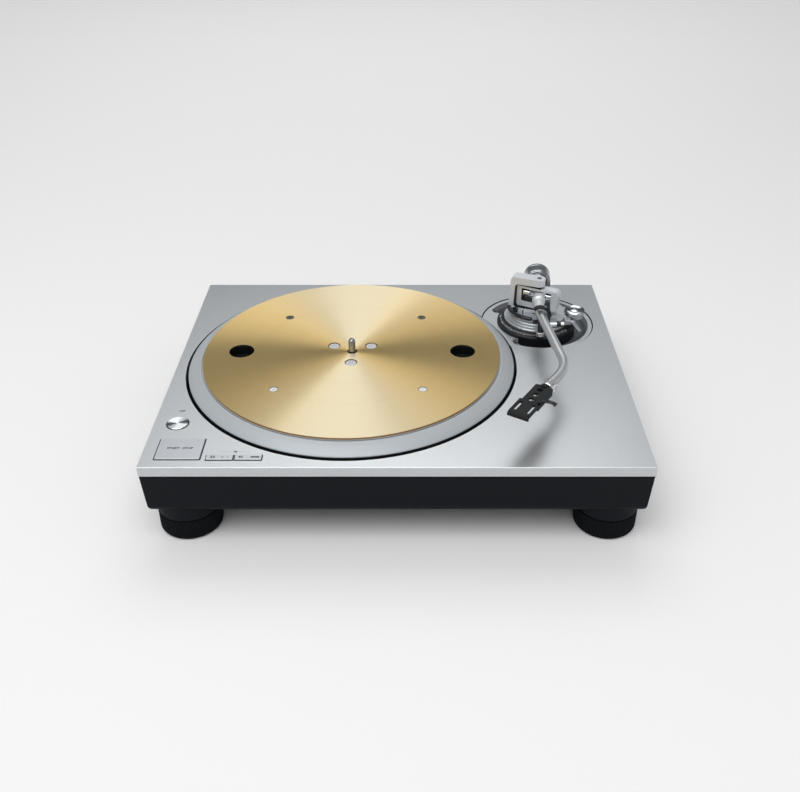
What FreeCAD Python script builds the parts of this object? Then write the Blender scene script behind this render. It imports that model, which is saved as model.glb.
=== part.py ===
import FreeCAD
import Part
import math
import os

os.makedirs("parts", exist_ok=True)

# Whole deck, in millimetres: Z is up from the table, the front faces -Y
panel_width = 453.0
panel_depth = 352.0
rear_reach = 20.0
panel_top = 88.0
panel_thickness = 10.3
front_y = -(panel_depth + rear_reach) / 2
back_y = front_y + panel_depth
edge_bevel = 0.4

# Cabinet under the panel, heights are counted from the panel's top
cabinet_bottom = -54.0
cabinet_top_inset = 0.5
cabinet_draft = 2.1
cabinet_wall = 4.5
cabinet_floor = 4.0
cabinet_edge_radius = 9.5
foot_inset_x = 31.5
foot_inset_y = 32.5
foot_radius = 29.2
foot_ribs = 60
foot_rib_depth = 0.7
foot_top = -66.8
foot_round = 4.0
collar_radius = 28.8
collar_bottom = -65.2
stud_radius = 10.0
turn_gap = 0.3

# Platter and its motor
platter_x = -48.0
platter_y = front_y + 177.5
well_radius = 168.3
platter_radius = 165.3
brass_radius = 150.3
brass_top = 12.0
brass_thickness = 2.0
finger_radius = 12.6
finger_reach = 112.8
small_screw_reach = 101.0
small_screw_radius = 4.0
hub_screw_reach = 22.0
hub_screw_radius = 5.6
spindle_pin_radius = 3.55
spindle_pin_top = 27.0
shaft_radius = 4.0
shaft_fit = 0.05
well_floor = -19.0
well_floor_thickness = 3.3

# Tonearm base
arm_x = 150.0
arm_y = front_y + 261.3
base_x = arm_x + 1.0
base_y = arm_y + 0.3
base_radius = 60.3
base_hole_radius = 61.3
base_top = -0.8
base_bottom = -14.0
moat_outer = 56.0
moat_floor = -9.2
ring_outer = 42.4
ring_bottom = -10.2
ring_shoulder = 2.2
ring_top = 6.2
drum_radius = 35.5
drum_sleeve_radius = 30.6
drum_step_radius = 33.6
drum_cap_radius = 32.0
drum_top = 13.4

# Tonearm, turned about the vertical axis at arm_x, arm_y
arm_height = 33.5
yoke_turn = -20.0
gimbal_turn = -27.0
arm_turn = -4.5
tube_radius = 4.6
tube_end_turn = -32.0
shell_x = 135.3
shell_y = front_y + 72.9

# Push buttons, from the panel's left edge and front edge
button_gap = 0.8
button_rise = 1.0
start_left = 12.8
start_width = 40.1
start_front = 11.0
start_depth = 30.9
speed_front = 10.4
speed_depth = 7.1
speed_width = 23.6
speed_33_left = 58.3
speed_45_left = 83.7
dial_from_left = 22.3
dial_from_front = 66.2
dial_radius = 9.95

# Motor bearing, rear plate, mains inlet and lid sockets
bearing_neck = 14.0
bearing_flange = 27.0
bearing_low = -47.0
bearing_high = -5.0
jack_plate_x = -124.0
jack_plate_width = 84.0
jack_height = -34.0
ground_x = -54.0
inlet_x = 84.0
inlet_width = 27.0
rear_low = -44.0
rear_high = -24.0
socket_width = 34.0
socket_x = 150.0

# Gimbal and its pivots
gimbal_depth = 10.5
pivot_screw_radius = 2.6
pivot_tip_radius = 1.2
side_tip_radius = 1.0

# Bends of the tube and the headshell
tube_middle_turn = 7.1
tube_knee_x = 146.7
tube_knee_y = front_y + 219.8
tube_bend_x = 160.1
tube_bend_y = front_y + 112.6
knee_radius = 30.0
bend_radius = 50.0
shell_top = 38.8
shell_low = 31.6
slot_spacing = 12.7

# Arm rest and clip
rest_x = 149.5
rest_y = front_y + 219.8
cradle_x = 146.9
cradle_y = front_y + 217.0
clip_inner = 7.4
clip_outer = 9.0
clip_pin_x = cradle_x + 10.2
clip_open_end = 138.0

# Lifting device
cue_x = 125.5
cue_y = front_y + 256.0
cue_rod_radius = 2.0
cue_bar_radius = 31.0
cue_bar_low = 17.4
cue_bar_high = 21.0
stop_x = 132.4
stop_y = front_y + 243.5
lever_x = 186.2
lever_y = front_y + 240.5
lever_height = 10.6

# Side-force dial and lock knob
skate_x = 190.0
skate_y = front_y + 254.0
dial_seat = 11.4
lock_x = 161.0
lock_y = front_y + 235.5
lock_height = 11.1
lock_radius = 2.6
lock_pin_radius = 1.2


def up(height):
    """Height above the table of a height counted from the panel's top."""
    return panel_top + height


def vec(x, y, z):
    return FreeCAD.Vector(x, y, z)


def block(x0, x1, y0, y1, h0, h1):
    """A box between two corners, heights counted from the panel's top."""
    return Part.makeBox(x1 - x0, y1 - y0, h1 - h0, vec(x0, y0, up(h0)))


def post(x, y, h0, h1, radius):
    """An upright cylinder."""
    return Part.makeCylinder(radius, h1 - h0, vec(x, y, up(h0)))


def tube(x, y, h0, h1, inner, outer):
    """An upright tube."""
    return post(x, y, h0, h1, outer).cut(post(x, y, h0 - 1, h1 + 1, inner))


def rod_x(x0, x1, y, height, radius):
    """A cylinder lying along X."""
    return Part.makeCylinder(radius, x1 - x0, vec(x0, y, up(height)), vec(1, 0, 0))


def rod_y(x, y0, y1, height, radius):
    """A cylinder lying along Y."""
    return Part.makeCylinder(radius, y1 - y0, vec(x, y0, up(height)), vec(0, 1, 0))


def spun(x, y, profile, start=0.0, sweep=360.0):
    """A profile of (radius, height) pairs turned about an upright axis."""
    points = [vec(x + r, y, up(h)) for r, h in profile]
    face = Part.Face(Part.makePolygon(points + points[:1]))
    solid = face.revolve(vec(x, y, 0), vec(0, 0, 1), sweep)
    solid.rotate(vec(x, y, 0), vec(0, 0, 1), start)
    return solid


def spun_along_y(profile, height):
    """A profile of (distance along Y, radius) pairs turned about a level line through X = 0."""
    points = [vec(r, y, up(height)) for y, r in profile]
    face = Part.Face(Part.makePolygon(points + points[:1]))
    return face.revolve(vec(0, 0, up(height)), vec(0, 1, 0), 360)


def turned(shape, x, y, degrees):
    """The shape moved from the origin to x, y and turned about the upright line there."""
    moved = shape.copy()
    moved.rotate(vec(0, 0, 0), vec(0, 0, 1), degrees)
    moved.translate(vec(x, y, 0))
    return moved


def rounded_block(x0, x1, y0, y1, h0, h1, radius):
    """A box with rounded upright edges."""
    body = block(x0, x1, y0, y1, h0, h1)
    return body.makeFillet(radius, upright_edges(body))


def upright_edges(shape):
    """The straight edges that run along Z."""
    found = []
    for edge in shape.Edges:
        a = edge.Vertexes[0].Point
        b = edge.Vertexes[-1].Point
        if abs(a.x - b.x) < 0.01 and abs(a.y - b.y) < 0.01 and abs(a.z - b.z) > 0.1:
            found.append(edge)
    return found


def edges_at(shape, height):
    """The edges that lie wholly at one height."""
    z = up(height)
    found = []
    for edge in shape.Edges:
        box = edge.BoundBox
        if abs(box.ZMin - z) < 0.01 and abs(box.ZMax - z) < 0.01:
            found.append(edge)
    return found


def around(x, y, reach, angles):
    """Points on a circle, at angles in degrees."""
    spots = []
    for angle in angles:
        turn = math.radians(angle)
        spots.append((x + reach * math.cos(turn), y + reach * math.sin(turn)))
    return spots


def joined(shapes):
    """One shape from several that overlap."""
    whole = shapes[0]
    for shape in shapes[1:]:
        whole = whole.fuse(shape)
    return whole.removeSplitter()


def without(shape, cutters):
    """The shape with every cutter taken out."""
    return shape.cut(Part.makeCompound(cutters))


def save(name, shape):
    shape.exportStep(os.path.join("parts", name + ".step"))
    box = shape.BoundBox
    print(name, len(shape.Solids), shape.isValid(), round(shape.Volume), [round(v, 1) for v in
          (box.XMin, box.XMax, box.YMin, box.YMax, box.ZMin, box.ZMax)])


def foot_spots():
    """The centres of the four feet: front left, front right, rear left, rear right."""
    x = panel_width / 2 - foot_inset_x
    near = front_y + foot_inset_y
    far = back_y - foot_inset_y
    return [(-x, near), (x, near), (-x, far), (x, far)]


# Panel and controls
def button_outline(left, front, width, depth, h0, h1, grow, radius):
    """A rounded button shape, grown on all sides by grow."""
    x0 = -panel_width / 2 + left - grow
    y0 = front_y + front - grow
    return rounded_block(x0, x0 + width + 2 * grow, y0, y0 + depth + 2 * grow, h0, h1, radius)


def control_openings(h0, h1, gap):
    """Cutters for the button and dial openings."""
    dial_x = -panel_width / 2 + dial_from_left
    dial_y = front_y + dial_from_front
    return [
        button_outline(start_left, start_front, start_width, start_depth, h0, h1, gap, 1.6),
        button_outline(speed_33_left, speed_front, speed_width, speed_depth, h0, h1, gap, 0.9),
        button_outline(speed_45_left, speed_front, speed_width, speed_depth, h0, h1, gap, 0.9),
        post(dial_x, dial_y, h0, h1, dial_radius + gap),
    ]


def top_panel():
    """Ten millimetre plate with the platter well, the tonearm hole and the control openings."""
    half = panel_width / 2
    plate = block(-half, half, front_y, back_y, -panel_thickness, 0)
    plate = plate.makeChamfer(edge_bevel, plate.Edges)
    cutters = control_openings(-panel_thickness - 1, 1, button_gap)
    cutters.append(post(platter_x, platter_y, -panel_thickness - 1, 1, well_radius))
    cutters.append(post(base_x, base_y, -panel_thickness - 1, 1, base_hole_radius))
    return without(plate, cutters)


def chassis_casting():
    """Frame under the panel, with the well that the platter turns in."""
    half = panel_width / 2 - 6.3
    low = well_floor - well_floor_thickness
    frame = block(-half, half, front_y + 5.4, back_y - 5.2, low, -panel_thickness)
    cutters = control_openings(low - 1, 0, 2.5)
    cutters.append(post(platter_x, platter_y, well_floor, 0, well_radius + 0.3))
    cutters.append(post(base_x, base_y, low - 1, 0, base_hole_radius + 0.5))
    cutters.append(post(platter_x, platter_y, low - 1, 0, bearing_neck + 0.2))
    cutters.append(block(60, 76, platter_y - 9, platter_y + 9, low - 1, 0))
    return without(frame, cutters)


def start_stop_button():
    """Square key with a guide stem."""
    key = button_outline(start_left, start_front, start_width, start_depth, -3.2, button_rise, 0, 1.0)
    key = key.makeChamfer(0.35, edges_at(key, button_rise))
    x = -panel_width / 2 + start_left + start_width / 2
    y = front_y + start_front + start_depth / 2
    return joined([key, post(x, y, -13, -3, 4)])


def speed_button(left, has_slot):
    """Long narrow key, on the 45 key with a lamp slot at its right end."""
    key = button_outline(left, speed_front, speed_width, speed_depth, -3.2, button_rise, 0, 0.6)
    key = key.makeChamfer(0.25, edges_at(key, button_rise))
    x = -panel_width / 2 + left
    y = front_y + speed_front + speed_depth / 2
    slot = block(x + 14.2, x + 21.2, y - 0.55, y + 0.55, button_rise - 0.4, button_rise + 1)
    stem = post(x + speed_width / 2, y, -13, -3, 2.4)
    key = joined([key, stem])
    return key.cut(slot) if has_slot else key


def power_dial():
    """Spun disc with a shallow cone top and a shaft to its switch."""
    x = -panel_width / 2 + dial_from_left
    y = front_y + dial_from_front
    profile = [(0, -3.2), (dial_radius, -3.2), (dial_radius, 0.55), (dial_radius - 0.35, 0.9),
               (0, 0.75)]
    return joined([spun(x, y, profile), post(x, y, -13, -3, 3)])


def button_switches():
    """Four small switches on the control board, one under each control."""
    spots = [
        (-panel_width / 2 + start_left + start_width / 2, front_y + start_front + start_depth / 2),
        (-panel_width / 2 + speed_33_left + speed_width / 2, front_y + speed_front + speed_depth / 2),
        (-panel_width / 2 + speed_45_left + speed_width / 2, front_y + speed_front + speed_depth / 2),
        (-panel_width / 2 + dial_from_left, front_y + dial_from_front),
    ]
    bodies = []
    for x, y in spots:
        body = block(x - 3, x + 3, y - 3, y + 3, -25.0, -18.0)
        bodies.append(joined([body, post(x, y, -18.5, -15.2, 1.7)]))
    return Part.makeCompound(bodies)


def control_board():
    """Circuit board under the controls, with its chips."""
    x0 = -panel_width / 2 + 9.5
    y0 = front_y + 8
    board = block(x0, x0 + 104, y0, y0 + 78, -26.6, -25.0)
    chips = [block(x0 + 46, x0 + 62, y0 + 26, y0 + 42, -25, -22.9),
             block(x0 + 72, x0 + 82, y0 + 30, y0 + 37, -25, -23.2)]
    return joined([board] + chips)


# Cabinet
def drafted_body():
    """The cabinet's outside as a solid with four sloping sides."""
    low = cabinet_top_inset + cabinet_draft
    top = cabinet_top_inset
    half = panel_width / 2
    body = Part.makeWedge(-half + low, up(cabinet_bottom), -back_y + low, -back_y + top, -half + top,
                          half - low, up(-panel_thickness), -front_y - low, -front_y - top, half - top)
    body.rotate(vec(0, 0, 0), vec(1, 0, 0), 90)
    return body


def cabinet():
    """Drafted shell with four foot collars, a bottom opening and rear openings."""
    shell = drafted_body()
    shell = shell.makeFillet(cabinet_edge_radius, edges_at(shell, cabinet_bottom))
    half = panel_width / 2 - cabinet_top_inset - cabinet_wall
    front = front_y + cabinet_top_inset + cabinet_wall
    back = back_y - cabinet_top_inset - cabinet_wall
    hollow = block(-half, half, front, back, cabinet_bottom + cabinet_floor, 0)
    collars = [post(x, y, collar_bottom, cabinet_bottom + 6, collar_radius) for x, y in foot_spots()]
    shell = joined([shell.cut(hollow)] + collars)
    cutters = [post(x, y, collar_bottom - 1, cabinet_bottom + 7, stud_radius + turn_gap)
               for x, y in foot_spots()]
    cutters.append(cover_block(0.0, cabinet_bottom - 1, cabinet_bottom + 3))
    cutters.append(cover_block(-8.0, cabinet_bottom - 1, cabinet_bottom + 5))
    cutters += rear_openings()
    cutters += [post(x, y, cabinet_bottom, cabinet_bottom + 5, 1.5) for x, y in cover_screw_spots()]
    return without(shell, cutters)


def cover_block(grow, h0, h1):
    """The rectangle of the bottom cover, grown on all sides."""
    return block(-160 - grow, 160 + grow, front_y + 20 - grow, back_y - 20 + grow, h0, h1)


def cover_screw_spots():
    """Screws along the two long sides of the bottom cover."""
    spots = []
    for x in (-150.0, -50.0, 50.0, 150.0):
        spots.append((x, front_y + 24))
        spots.append((x, back_y - 24))
    return spots


def bottom_cover():
    """Cover plate with rows of vent slots and countersunk screw holes."""
    plate = cover_block(-0.3, cabinet_bottom, cabinet_bottom + 3)
    cutters = []
    for column in (-110.0, 30.0):
        for row in range(8):
            y = back_y - 120 + row * 9.0
            cutters.append(rounded_block(column, column + 80, y, y + 3.6, cabinet_bottom - 1,
                                         cabinet_bottom + 4, 1.7))
    for x, y in cover_screw_spots():
        cutters.append(post(x, y, cabinet_bottom - 1, cabinet_bottom + 4, 1.5))
        cutters.append(post(x, y, cabinet_bottom - 1, cabinet_bottom + 1.2, 3.2))
    return without(plate, cutters)


def bottom_screws():
    """Cross-headed screws that hold the bottom cover."""
    bodies = []
    for x, y in cover_screw_spots():
        head = post(x, y, cabinet_bottom, cabinet_bottom + 1.2, 3.2)
        shank = post(x, y, cabinet_bottom + 1, cabinet_bottom + 5, 1.5)
        cross = [block(x - 1.8, x + 1.8, y - 0.35, y + 0.35, cabinet_bottom - 1, cabinet_bottom + 0.7),
                 block(x - 0.35, x + 0.35, y - 1.8, y + 1.8, cabinet_bottom - 1, cabinet_bottom + 0.7)]
        bodies.append(without(joined([head, shank]), cross))
    return Part.makeCompound(bodies)


def rear_openings():
    """Openings in the cabinet's rear wall for the jack plate and the mains inlet."""
    return [
        block(jack_plate_x, jack_plate_x + jack_plate_width, back_y - 12, back_y + 2, rear_low, rear_high),
        block(inlet_x, inlet_x + inlet_width, back_y - 12, back_y + 2, rear_low + 2, rear_high - 2),
    ]


def rear_plate():
    """Plate that closes the opening behind the jacks."""
    x1 = jack_plate_x + jack_plate_width
    plate = block(jack_plate_x, x1, back_y - 5, back_y - 2.4, rear_low, rear_high)
    cutters = [rod_y(x, back_y - 6, back_y, jack_height, 4.9) for x in jack_spots()]
    cutters.append(rod_y(ground_x, back_y - 6, back_y, jack_height, 2.0))
    return without(plate, cutters)


def jack_spots():
    """The centres of the two phono jacks along X."""
    return [jack_plate_x + 18, jack_plate_x + 38]


def phono_jacks():
    """Two jacks: insulated body, outer barrel with a flange, and an open centre contact."""
    bodies = []
    for x in jack_spots():
        barrel = rod_y(x, back_y - 14, back_y + 6, jack_height, 4.15)
        flange = rod_y(x, back_y - 2.4, back_y - 1.2, jack_height, 6.2)
        neck = rod_y(x, back_y - 12, back_y - 2.4, jack_height, 4.9)
        bore = rod_y(x, back_y - 8, back_y + 8, jack_height, 1.7)
        bodies.append(joined([barrel, flange, neck]).cut(bore))
    return Part.makeCompound(bodies)


def ground_post():
    """Ground terminal: threaded stud with a knurled thumb nut."""
    stud = rod_y(ground_x, back_y - 12, back_y + 8, jack_height, 2.0)
    collar = rod_y(ground_x, back_y - 2.4, back_y - 1.4, jack_height, 4.4)
    nut = knurled_nut(ground_x, jack_height, 4.8, back_y + 0.4, back_y + 6.4)
    return joined([stud, collar, nut])


def knurled_nut(x, height, radius, y0, y1):
    """A round nut with straight knurling, its axis along Y."""
    points = []
    teeth = 24
    for step in range(teeth * 2):
        turn = math.pi * step / teeth
        reach = radius if step % 2 else radius - 0.5
        points.append(vec(x + reach * math.cos(turn), y0, up(height) + reach * math.sin(turn)))
    face = Part.Face(Part.makePolygon(points + points[:1]))
    return face.extrude(vec(0, y1 - y0, 0))


def mains_inlet():
    """Three-pin appliance inlet in a shroud."""
    y1 = back_y + 1.0
    x1 = inlet_x + inlet_width
    middle = (inlet_x + x1) / 2
    body = block(inlet_x + 0.1, x1 - 0.1, back_y - 26, y1, rear_low + 2.1, rear_high - 2.1)
    flange = block(inlet_x - 5, x1 + 5, back_y - 0.4, y1, rear_low, rear_high)
    cavity = rounded_cavity(middle, back_y - 15, y1 + 1)
    pins = []
    for dx, dz in ((-7.0, -1.5), (0.0, 3.0), (7.0, -1.5)):
        z = jack_height + dz
        pins.append(block(middle + dx - 1, middle + dx + 1, back_y - 16, back_y - 5, z - 2, z + 2))
    return joined([joined([body, flange]).cut(cavity)] + pins)


def rounded_cavity(middle, y0, y1):
    """The recess of the mains inlet, its lower corners cut off."""
    corners = [(-11.5, 7.0), (11.5, 7.0), (11.5, -2.0), (6.5, -7.0), (-6.5, -7.0), (-11.5, -2.0)]
    points = [vec(middle + x, y0, up(jack_height + h)) for x, h in corners]
    face = Part.Face(Part.makePolygon(points + points[:1]))
    return face.extrude(vec(0, y1 - y0, 0))


def hinge_sockets():
    """Two sockets at the rear edge that take the lid's hinge tongues."""
    bodies = []
    for x in (-socket_x - socket_width / 2, socket_x - socket_width / 2):
        body = block(x, x + socket_width, back_y - 1.6, back_y + rear_reach, -44, -11)
        body = body.makeFillet(2.0, upright_edges(body)[:])
        slot = block(x + 6, x + socket_width - 6, back_y + 6, back_y + 13, -36, -10)
        groove = block(x + 6, x + socket_width - 6, back_y + 16, back_y + 25, -28, -24)
        bodies.append(without(body, [slot, groove, drafted_body()]))
    return Part.makeCompound(bodies)


def ribbed_disc(x, y, h0, h1):
    """The outside of a foot as a shape with straight upright ribs."""
    points = []
    for step in range(foot_ribs * 4):
        turn = 2 * math.pi * step / (foot_ribs * 4)
        reach = foot_radius if step % 4 < 2 else foot_radius - foot_rib_depth
        points.append(vec(x + reach * math.cos(turn), y + reach * math.sin(turn), up(h0)))
    face = Part.Face(Part.makePolygon(points + points[:1]))
    return face.extrude(vec(0, 0, h1 - h0))


def foot(x, y):
    """Ribbed foot with a rounded lower edge, on a threaded stud."""
    bottom = -panel_top
    low = foot_radius - foot_round
    profile = [(0, bottom), (low, bottom)]
    for step in range(1, 6):
        turn = math.radians(18 * step)
        profile.append((low + foot_round * math.sin(turn), bottom + foot_round * (1 - math.cos(turn))))
    profile += [(foot_radius, foot_top - 0.8), (foot_radius - 0.8, foot_top), (0, foot_top)]
    body = spun(x, y, profile).common(ribbed_disc(x, y, bottom, foot_top))
    return joined([body, post(x, y, foot_top - 1, cabinet_bottom + 9, stud_radius)])


# Platter
def finger_holes(h0, h1, grow):
    """Cutters for the two finger holes."""
    return [post(x, y, h0, h1, finger_radius + grow)
            for x, y in around(platter_x, platter_y, finger_reach, (0, 180))]


def small_screw_spots():
    return around(platter_x, platter_y, small_screw_reach, (45, 135, 225, 315))


def hub_screw_spots():
    return around(platter_x, platter_y, hub_screw_reach, (30, 150, 270))


def brass_plate():
    """Brass disc on top of the platter, with its finger holes and screw seats."""
    low = brass_top - brass_thickness
    disc = post(platter_x, platter_y, low, brass_top, brass_radius)
    disc = disc.makeChamfer(0.3, edges_at(disc, brass_top))
    cutters = finger_holes(low - 1, brass_top + 1, 0)
    cutters.append(post(platter_x, platter_y, low - 1, brass_top + 1, 5.4))
    for x, y in small_screw_spots():
        cutters.append(post(x, y, low - 1, brass_top + 1, small_screw_radius))
    for x, y in hub_screw_spots():
        cutters.append(post(x, y, low - 1, brass_top + 1, hub_screw_radius + 0.5))
    return without(disc, cutters)


def platter_casting():
    """Die-cast platter with a sloping outer flange and a deep rim."""
    low = brass_top - brass_thickness
    profile = [(9, 1), (9, low), (151.1, low), (151.1, 8.2), (151.9, 8.2), (151.9, 9.3),
               (153.0, 9.2), (157.0, 7.3), (161.0, 5.0), (164.0, 2.9), (165.0, 2.0),
               (platter_radius, 1.2), (platter_radius, -14), (161, -14), (161, 1)]
    body = spun(platter_x, platter_y, profile)
    cutters = finger_holes(-2, low + 1, 0)
    for x, y in small_screw_spots():
        cutters.append(post(x, y, 4, low + 1, 1.6))
    for x, y in hub_screw_spots():
        cutters.append(post(x, y, 0, low + 1, 1.9))
    return without(body, cutters)


def plate_screws():
    """Four countersunk screws near the middle of the brass plate's radius."""
    low = brass_top - brass_thickness
    bodies = []
    for x, y in small_screw_spots():
        head = post(x, y, low, brass_top - 0.3, small_screw_radius)
        body = joined([head, post(x, y, 4, low + 0.5, 1.6)])
        bodies.append(body.cut(hex_socket(x, y, brass_top - 1.3, brass_top + 1, 1.7)))
    return Part.makeCompound(bodies)


def hub_screws():
    """Three larger screws round the spindle."""
    low = brass_top - brass_thickness
    bodies = []
    for x, y in hub_screw_spots():
        head = post(x, y, low, brass_top - 0.5, hub_screw_radius)
        head = head.makeChamfer(0.4, edges_at(head, brass_top - 0.5))
        body = joined([head, post(x, y, 1, low + 0.5, 1.9)])
        bodies.append(body.cut(hex_socket(x, y, brass_top - 1.8, brass_top + 1, 2.3)))
    return Part.makeCompound(bodies)


def hex_socket(x, y, h0, h1, radius):
    """A six-sided recess."""
    points = [vec(px, py, up(h0)) for px, py in around(x, y, radius, range(0, 360, 60))]
    face = Part.Face(Part.makePolygon(points + points[:1]))
    return face.extrude(vec(0, 0, h1 - h0))


def platter_damper():
    """Rubber layer bonded under the platter."""
    body = tube(platter_x, platter_y, -3, 1, 72, 160.8)
    return without(body, finger_holes(-4, 2, 0))


def rotor_yoke():
    """Steel disc that carries the rotor magnet under the platter."""
    body = tube(platter_x, platter_y, -1.2, 1, 9, 68)
    holes = [post(x, y, -2, 2, 2.1) for x, y in hub_screw_spots()]
    return without(body, holes)


def rotor_magnet():
    """Ring magnet of the direct-drive motor."""
    return tube(platter_x, platter_y, -6.6, -1.2, 40, 66)


def spindle():
    """Bearing shaft with its hub and the record pin."""
    profile = [(0, bearing_low + 5), (shaft_radius - 0.6, bearing_low + 5),
               (shaft_radius, bearing_low + 5.6), (shaft_radius, -3.5), (9, -1.2), (9, 10),
               (5.0, 10), (4.0, brass_top - 0.4), (spindle_pin_radius, brass_top - 0.4),
               (spindle_pin_radius, 23.5), (3.1, 25.2), (2.1, 26.5), (0.9, spindle_pin_top),
               (0, spindle_pin_top)]
    return spun(platter_x, platter_y, profile)


def bearing_housing():
    """Bearing tube with a flange on the well floor and a closed lower end."""
    profile = [(0, bearing_low), (bearing_neck, bearing_low), (bearing_neck, well_floor),
               (bearing_flange, well_floor), (bearing_flange, well_floor + 2.6), (11, well_floor + 2.6),
               (11, bearing_high), (shaft_radius + shaft_fit, bearing_high),
               (shaft_radius + shaft_fit, bearing_low + 4.6), (0, bearing_low + 4.6)]
    return spun(platter_x, platter_y, profile)


def stator_core():
    """Back iron ring under the coils."""
    return tube(platter_x, platter_y, well_floor, well_floor + 4.6, 32, 68)


def stator_board():
    """Ring-shaped circuit board that the coils lie on."""
    top = well_floor + 6.0
    ring = tube(platter_x, platter_y, well_floor + 4.6, top, 30, 70)
    tab = block(platter_x + 66, platter_x + 124, platter_y - 7, platter_y + 7, well_floor + 4.6, top)
    return joined([ring, tab.cut(post(platter_x, platter_y, well_floor, 0, 60))])


def stator_coils():
    """Nine flat coils in a ring."""
    bodies = []
    for x, y in around(platter_x, platter_y, 53, range(0, 360, 40)):
        bodies.append(tube(x, y, well_floor + 6.0, well_floor + 10.6, 6, 15.5))
    return Part.makeCompound(bodies)


# Power supply
def transformer():
    """Toroidal transformer on the cabinet floor with its clamp plate."""
    x = 150.0
    y = back_y - 96
    floor = cabinet_bottom + cabinet_floor
    ring = Part.makeTorus(25, 11.5, vec(x, y, up(floor + 12.5)))
    plate = post(x, y, floor + 24.0, floor + 25.6, 24)
    core = post(x, y, floor, floor + 25, 6)
    return joined([ring, plate, core, post(x, y, floor, floor + 1.4, 24)])


def power_board():
    """Power supply board with capacitors and a heat sink."""
    x0 = 18.0
    y0 = back_y - 60
    low = cabinet_bottom + cabinet_floor
    board = block(x0, x0 + 52, y0, y0 + 46, low + 4.0, low + 5.6)
    parts = [board]
    for dx, dy, radius, tall in ((10, 12, 5.0, 14.0), (24, 12, 5.0, 14.0), (38, 12, 4.0, 12.0)):
        parts.append(post(x0 + dx, y0 + dy, low + 5, low + 5.6 + tall, radius))
    parts.append(block(x0 + 6, x0 + 46, y0 + 28, y0 + 31, low + 5, low + 20))
    for dx in range(8, 46, 6):
        parts.append(block(x0 + dx, x0 + dx + 1.4, y0 + 30.5, y0 + 38, low + 5, low + 20))
    for dx in (4, 48):
        for dy in (4, 42):
            parts.append(post(x0 + dx, y0 + dy, low, low + 4.5, 2.2))
    return joined(parts)


# Tonearm base
def base_moat():
    """Cutter for the bowl-sided recess round the height ring."""
    start = -119.6
    sweep = 265.5
    bowl = 9.5
    bowl_start = 46.1
    inner = ring_outer + 0.2
    profile = [(inner - 2, moat_floor), (bowl_start, moat_floor)]
    for step in range(1, 9):
        turn = math.radians(step * 10)
        profile.append((bowl_start + bowl * math.sin(turn), moat_floor + bowl * (1 - math.cos(turn))))
    profile += [(moat_outer, -0.5), (moat_outer, 2), (inner - 2, 2)]
    trench = spun(base_x, base_y, profile, start, sweep)
    ends = around(base_x, base_y, 49.2, (start, start + sweep))
    rounds = []
    for x, y in ends:
        ball = Part.makeSphere(8.2, vec(x, y, up(-1.0)))
        rounds.append(ball.common(post(x, y, moat_floor, 2, 6.3)))
    return joined([trench] + rounds)


def arm_base_plate():
    """Round base let into the panel, with a seat for the height ring and the recess round it."""
    plate = post(base_x, base_y, base_bottom, base_top, base_radius)
    plate = plate.makeChamfer(0.3, edges_at(plate, base_top))
    cutters = [post(platter_x, platter_y, base_bottom - 1, 1, well_radius),
               post(arm_x, arm_y, base_bottom - 1, 1, drum_sleeve_radius + turn_gap),
               post(arm_x, arm_y, ring_bottom - 0.2, 1, ring_outer + 0.4),
               base_moat()]
    return without(plate, cutters)


def height_ring():
    """Black ring that raises and lowers the arm, with a bevelled scale face and grip notches."""
    inner = drum_radius + turn_gap
    profile = [(inner, ring_bottom), (ring_outer, ring_bottom), (ring_outer, ring_shoulder),
               (ring_outer - 0.7, ring_shoulder + 0.7), (inner + 0.4, ring_top), (inner, ring_top)]
    body = spun(arm_x, arm_y, profile)
    notches = []
    for x, y in around(arm_x, arm_y, ring_outer + 0.5, range(0, 360, 8)):
        notches.append(post(x, y, ring_bottom - 1, ring_shoulder - 3.5, 0.9))
    return without(body, notches)


def arm_drum():
    """Stepped drum that carries the arm, with the foot of the arm rest."""
    low = ring_bottom + 2
    profile = [(8.5, -22), (drum_sleeve_radius, -22), (drum_sleeve_radius, low), (drum_radius, low),
               (drum_radius, 7.6), (drum_radius - 0.6, 8.2), (drum_step_radius, 8.2),
               (drum_step_radius, 10.2), (drum_step_radius - 0.4, 10.6), (drum_cap_radius, 10.6),
               (drum_cap_radius, drum_top - 0.6), (drum_cap_radius - 0.6, drum_top), (8.5, drum_top)]
    body = spun(arm_x, arm_y, profile)
    lug = block(rest_x - 3.5, rest_x + 3.5, rest_y, arm_y - 34, 6.8, 8.2)
    seat = post(rest_x, rest_y, 6.8, 11.2, 4.8)
    seat = seat.makeChamfer(0.6, edges_at(seat, 11.2))
    cue_hole = post(cue_x, cue_y, drum_top - 8, drum_top + 1, cue_rod_radius + turn_gap)
    notch = block(lock_x - 0.6, lock_x + 20, arm_y - 40, lock_y + lock_radius + 0.4, 8.2, drum_top + 1)
    pin = rod_x(lock_x - 2, lock_x + 5.6, lock_y, lock_height, lock_pin_radius)
    return joined([without(body, [cue_hole, notch]), lug, seat, pin])


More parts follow.
